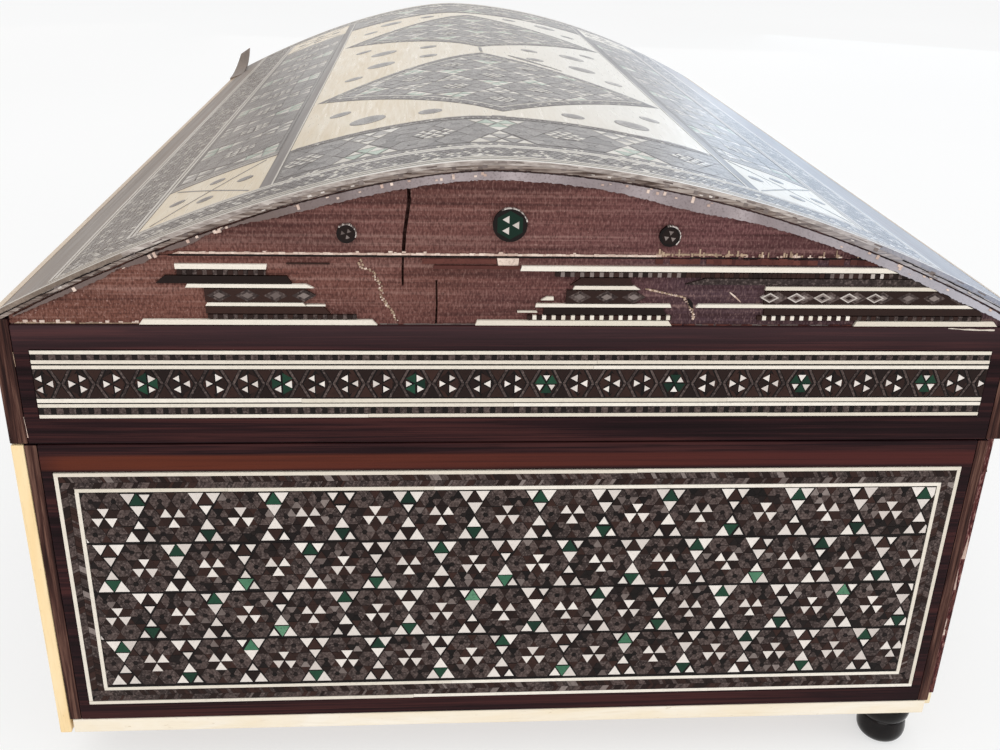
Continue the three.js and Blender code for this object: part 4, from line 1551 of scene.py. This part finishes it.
crack(rail_line, ((83.5, 96.75), (88, 96.5), (93, 96.4)), (0.1, 0.28, 0.3), DIM)
crack(rail_line, ((-96.5, 91.5), (-96.45, 89.5), (-96.4, 88.5)), (0.03, 0.12, 0.03), GLUE)
crack(rail_line, ((-96.5, 78), (-96.4, 76), (-96.3, 73.5)), (0.03, 0.08, 0.2), RAW)
lay_tiles("rail_scars", rail_line, faces["near"], mosaic_palette, 0.03, 0.2)
lay_tiles("tympanum_remains", under_arch(remains), place_tympanum, mosaic_palette, 0.62, 0.0)

# Raw fibre along the joint and the rail, dark seams and a smear of old glue, all thin
scars = Pattern()


def ragged(x0, x1, z0, z1, kind, share, wild, step):
    """A run of broken bits between two heights: each bit's top is a random part of the full height."""
    x = np.arange(x0, x1, step)
    x = x[rng.random(len(x)) < share]
    z_top = z0 + (z1 - z0) * (1 - wild * rng.random(len(x)))
    z_low = z0 + 0.1 * (z1 - z0) * rng.random(len(x))
    long = step * rng.uniform(0.9, 1.6, len(x))
    scars.add(rectangles(x, x + long, z_low, z_top), kind, 0.0)


for row in (
    (-69.7, 24.2, 110.75, 111.25, RAW, 1, 0.35, 0.9),
    (-69.7, 24.2, 111.2, 111.6, RAW, 0.1, 0.9, 0.5),
    (-69.7, 24.2, 110.35, 110.7, GROUND, 1, 0.2, 0.9),
    (24, 41, 111.1, 111.5, GLUE, 0.7, 0.4, 0.9),
    (24, 70, 110.8, 112.4, GLUE, 0.28, 1, 0.25),
    (41, 60, 110.8, 111.4, RAW, 0.35, 0.8, 0.3),
    (24, 72, 109.3, 110.6, RED, 0.8, 0.3, 1.4),
    (28, 70, 110.5, 110.8, GROUND, 0.6, 0.3, 1.3),
    (-97, -72, 97.0, 97.35, GLUE, 0.85, 0.5, 1.2),
    (-97, -70, 97.1, 97.75, RAW, 0.4, 0.9, 0.6),
    (-28, 4, 97.0, 97.25, PEWTER, 0.8, 0.5, 1.5),
    (33, 62, 97.0, 97.25, PEWTER, 0.6, 0.5, 1.2),
    (28, 64, 96.95, 97.3, RED, 0.7, 0.6, 0.9),
):
    ragged(*row)


def smear(path, width, share=0.75):
    """Old glue as small bits scattered along a path."""
    path, places = path_lengths(path)
    at = np.arange(0, places[-1], 0.125)
    at = at[rng.random(len(at)) < share]
    x, z = (np.interp(at, places, path[:, i]) for i in (0, 1))
    broad = np.interp(at, places, width)
    x = x + broad * rng.uniform(-0.5, 0.5, len(at))
    size = rng.uniform(0.12, 0.4, (2, len(at)))
    kinds = np.where(rng.random(len(at)) < 0.25, RAW, GLUE)
    wide, tall = size / 2
    scars.add(rectangles(x - wide, x + wide, z - tall, z + tall), kinds, 0.0)


smear(((-31.6, 109.9), (-31.2, 108.3), (-29.4, 107.8), (-28.7, 106.6), (-27.9, 104.9), (-27.6, 102.8),
       (-26.6, 101), (-25.7, 99.9), (-25.3, 98.8), (-24.8, 97.7)),
      (0.9, 0.7, 0.5, 0.9, 0.8, 0.7, 0.6, 0.5, 0.3, 0.5))
smear(((22.7, 104.4), (27.1, 103.4), (29.9, 102.8), (31.7, 101), (32.5, 98.5), (32.1, 98.1)),
      (0.4, 0.5, 0.7, 0.8, 0.4, 0.5), 0.9)
crack(scars, ((39, 103.8), (40.2, 102.9), (41.4, 101.8)), (0.25, 0.35, 0.2), RAW)
crack(scars, ((31.0, 102.4), (31.6, 101.6), (32, 100.6)), (0.5, 0.8, 0.4), GROUND)
crack(scars, ((39, 94.9), (39.6, 94.2), (40, 94)), (0.2, 0.5, 0.2), RAW)
lay_tiles("tympanum_scars", under_arch(scars), place_tympanum, mosaic_palette, 0.1, 0.2)

# Chips and open seams along the arch
seams = Pattern()


def arch_seam(x0, x1, depth, width, kind, share, wild, step, rise=0.0):
    """Short quads that follow the arch at a depth below the dome's surface, on the near face."""
    x = np.arange(x0, x1, step)
    x = x[rng.random(len(x)) < share]
    high = depth + width * wild * rng.random(len(x))
    low = depth + width * (1 - wild * rng.random(len(x)))
    a, b = x, x + step * rng.uniform(1.0, 1.2, len(x))
    corners = [arch_point(p, d) for p, d in ((a, low), (b, low), (b, high), (a, high))]
    shape = np.stack([joined(px, pz - base_z) for px, pz in corners], 1)
    seams.add(shape, kind, 0.0, rise=rise)


for row in (
    (-99, -66, 0.82, 0.3, GROUND, 1, 0.35, 1.1),
    (72, 97, 0.9, 0.3, GROUND, 1, 0.35, 1.1),
    (-96, 28, 1.5, 0.26, HORN, 0.6, 0.7, 1.1),
    (28, 90, 1.5, 0.22, PEWTER, 0.5, 0.7, 1.1),
    (-96, 96, 0.15, 0.4, PEWTER, 0.25, 0.8, 1.6),
    (-90, 90, 0.6, 0.9, PEWTER, 0.3, 0.9, 0.8),
    (-90, 90, 1.0, 0.5, LOW_IVORY, 0.12, 0.8, 0.6),
):
    arch_seam(*row)
for x0, x1, share in ((-90, -55, 0.3), (-45, -8, 0.35), (8, 34, 0.3), (60, 93, 0.3)):
    arch_seam(x0, x1, 1.9, 1.2, RAW, share, 0.97, 0.45, 0.05)
lay_tiles("arch_scars", seams, faces["near"], mosaic_palette, 0.04, 0.3)


def rosette(name, node, turn, radius, dark, arc):
    """A round rosette: a dark disc with three pale triangles that touch at its middle, every other sixth
    of a hexagon, and a bright wire round part of the rim."""
    low, high = node_box(node)
    middle = np.array([(low[0] + high[0]) / 2, (low[2] + high[2]) / 2 - base_z])
    tiles = Pattern()
    tiles.add(ring_points([middle], radius, 28, 0), GROUND, 0.0)
    tiles.add(ring_points([middle], 0.86 * radius, 6, turn), dark, 0.02, 0.0, rise=0.02)
    for i in range(3):
        outer = on_circle(turn + 2 * math.pi * i / 3 + np.array([0, math.pi / 3]), 0.66 * radius)
        tiles.add([middle + np.stack([np.zeros(2), *outer])], LOW_IVORY if dark == GREEN else PEWTER,
                  0.06 * radius, rise=0.05)
    angles = np.linspace(*arc, 26)
    inner = on_circle(angles, radius - 0.12)
    outer = on_circle(angles, radius + rng.uniform(-0.02, 0.16, 26)[:, None])
    kinds = np.where(rng.random(25) < 0.3, PEWTER, LOW_IVORY)
    tiles.add(middle + np.stack([inner[:-1], outer[:-1], outer[1:], inner[1:]], 1), kinds, 0.0, rise=0.06)
    lay_tiles(name, tiles, faces["near"], mosaic_palette, 0.0, 0.7, (node,), relief=0)


rosette("rosette_middle", "round_rosette_middle", -math.pi / 6, 3.2, GREEN, (0.2, 2.1))
rosette("rosette_left", "round_rosette_left", 0.3, 1.8, WOOD, (-0.4, 2.4))
rosette("rosette_right", "round_rosette_right", 0.9, 2.0, WOOD, (-0.9, 1.9))


def splinters():
    """Torn fibres in the rebate of the lost corner strip: thin upright wedges with random places,
    lengths and thicknesses."""
    count = 46
    z = base_z + 3 + 66 * rng.random(count)
    long = rng.uniform(1.5, 7, count)
    x = half_width - 2.5 + rng.uniform(-0.05, 0.9, count)
    y = -half_length + rng.uniform(0.2, 2.4, count)
    wide = rng.uniform(0.12, 0.34, count)
    low = joined(x - 0.6, y, z)
    corners = [low, low + joined(wide + 0.6, 0, 0), low + joined(0.2 * wide, wide, 0),
               low + joined(wide * 0.9 + 0.3, 0.3 * wide, long)]
    points = np.stack(corners, 1).reshape(-1, 3)
    first = 4 * np.arange(count)[:, None]
    faces_of_one = np.array([[0, 2, 1], [0, 1, 3], [1, 2, 3], [2, 0, 3]])
    corner_list = (first[..., None] + faces_of_one).reshape(-1)
    kinds = np.repeat(np.where(rng.random(count) < 0.12, 0, 1), 4)
    mesh = fill_mesh("corner_splinters", points, np.full(4 * count, 3), corner_list,
                     [raw_tile, red_tile], kinds, np.repeat(rng.random(count), 4))
    new_object("corner_splinters", mesh)


splinters()


def turned_foot(name, node):
    """A foot as a profile turned about its axis: a flat sole, a lower bead, a groove and an upper bead,
    each bead a half wave between its two edges."""
    low, high = node_box(node)
    axis = (low + high) / 2
    top = high[2]
    groove = 6.4
    steps = np.linspace(0, 1, 15)

    def bead(z0, z1, r0, r1, swell):
        """Radius and height from one edge to the other."""
        edge = r0 + (r1 - r0) * steps
        out = np.sqrt(np.maximum(0, 1 - (2 * steps - 1) ** 2))
        return np.stack([edge + (swell - edge) * out, z0 + (z1 - z0) * steps], -1)

    profile = np.concatenate([bead(0, groove, 3.2, 5.0, 5.6), bead(groove, top, 5.0, 4.6, 5.9)[1:]])
    around = np.linspace(0, 2 * math.pi, 48, endpoint=False)
    radius, z = profile[:, 0], profile[:, 1]
    level = axis[:2] + on_circle(around, radius[:, None, None])
    points = joined(level[..., 0], level[..., 1], z[:, None]).reshape(-1, 3)
    rows, columns = len(profile), len(around)
    r, c = np.meshgrid(np.arange(rows - 1), np.arange(columns), indexing="ij")
    a = r * columns + c
    b = r * columns + (c + 1) % columns
    quads = joined(a, b, b + columns, a + columns).reshape(-1)
    sole = np.arange(columns)[::-1]
    cap = (rows - 1) * columns + np.arange(columns)
    sizes = np.concatenate([np.full((rows - 1) * columns, 4), [columns, columns]])
    mesh = fill_mesh(name, points, sizes, np.concatenate([quads, sole, cap]), [ebony],
                     smooth_angle=40)
    new_object(name, mesh, (node,))


for corner in ("near_right", "far_left", "far_right"):
    turned_foot(f"turned_foot_{corner}", f"foot_{corner}")

# Floor, light and camera


def studio():
    """A wide pale floor, soft light from above and both sides, and a cool light low at the far right."""
    mesh = bpy.data.meshes.new("floor")
    size = 40.0
    corners = [(-size, -size, 0), (size, -size, 0), (size, size, 0), (-size, size, 0)]
    mesh.from_pydata(corners, [], [(0, 1, 2, 3)])
    floor = bpy.data.objects.new("floor", mesh)
    bpy.context.scene.collection.objects.link(floor)
    material, tree, shader = start_material("pale_floor")
    cloud = noise(tree, (0.002, 0.002, 0.002), 2, 0.5)
    tree.links.new(ramp(tree, cloud, [(0.3, (170, 170, 169)), (0.7, (173, 173, 172))]),
                   shader.inputs["Base Color"])
    shader.inputs["Emission Color"].default_value = (1, 1, 1, 1)
    shader.inputs["Emission Strength"].default_value = 0.59
    shader.inputs["Roughness"].default_value = 0.9
    shader.inputs["Specular IOR Level"].default_value = 0.1
    mesh.materials.append(material)

    world = bpy.data.worlds.new("studio")
    bpy.context.scene.world = world
    world.use_nodes = True
    background = world.node_tree.nodes["Background"]
    background.inputs["Color"].default_value = (0.97, 0.98, 1.0, 1)
    background.inputs["Strength"].default_value = 0.6

    def lamp(data, place, aim):
        """A light at a place, in metres, that looks at another and stays out of sight."""
        light = bpy.data.objects.new(data.name, data)
        bpy.context.scene.collection.objects.link(light)
        light.location = place
        light.rotation_euler = (Vector(aim) - Vector(place)).to_track_quat("-Z", "Y").to_euler()
        light.visible_camera = False
        return light

    def softbox(name, place, aim, size, radiance, colour):
        """A rectangular light whose power follows from its radiance and its size."""
        data = bpy.data.lights.new(name, "AREA")
        data.shape = "RECTANGLE"
        data.size, data.size_y = size
        data.energy = radiance * math.pi * size[0] * size[1]
        data.color = colour
        return lamp(data, place, aim)

    sun = bpy.data.lights.new("overhead", "SUN")
    sun.energy = 0.72
    sun.angle = math.radians(80)
    lamp(sun, (0, 0, 3), (0.02, 0.25, 0))
    softbox("front", (-0.35, -1.8, 0.8), (0, 0, 0.08), (1.5, 1.1), 2.2, (1.0, 0.98, 0.95))
    softbox("window", (1.7, -0.9, 0.55), (0, 0, 0.08), (0.8, 1.1), 2.1, (0.84, 0.92, 1.0))
    # low softboxes behind the box, that only show as sheen on the dome
    for name, x, radiance, colour in (
        ("sheen_left", -0.75, 0.3, (1.0, 0.84, 0.7)),
        ("sheen_middle", 0.1, 0.9, (1.0, 0.98, 0.95)),
        ("sheen_right", 0.85, 1.5, (0.68, 0.83, 1.0)),
    ):
        sheen = softbox(name, (x, 1.15, 0.26), (0.3 * x, 0, 0.16), (0.8, 0.56), radiance, colour)
        sheen.visible_diffuse = False


def place_camera():
    """The camera stands where the photograph was taken from: turned by yaw, tipped down by pitch, and
    rolled about its own line of sight."""
    yaw, pitch, roll = camera_yaw, camera_pitch, camera_roll
    forward = Vector((math.sin(yaw) * math.cos(pitch), math.cos(yaw) * math.cos(pitch), -math.sin(pitch)))
    level = Vector((math.cos(yaw), -math.sin(yaw), 0))
    upright = level.cross(forward)
    right = math.cos(roll) * level + math.sin(roll) * upright
    up = -math.sin(roll) * level + math.cos(roll) * upright
    data = bpy.data.cameras.new("camera")
    data.lens = camera_lens
    data.sensor_width = sensor_width
    data.clip_start = 0.01
    camera = bpy.data.objects.new("camera", data)
    bpy.context.scene.collection.objects.link(camera)
    turn = Matrix((right, up, -forward)).transposed().to_4x4()
    camera.matrix_world = Matrix.Translation(Vector(camera_place) * MM) @ turn
    bpy.context.scene.camera = camera


studio()
place_camera()
bpy.context.scene.view_settings.view_transform = "Standard"
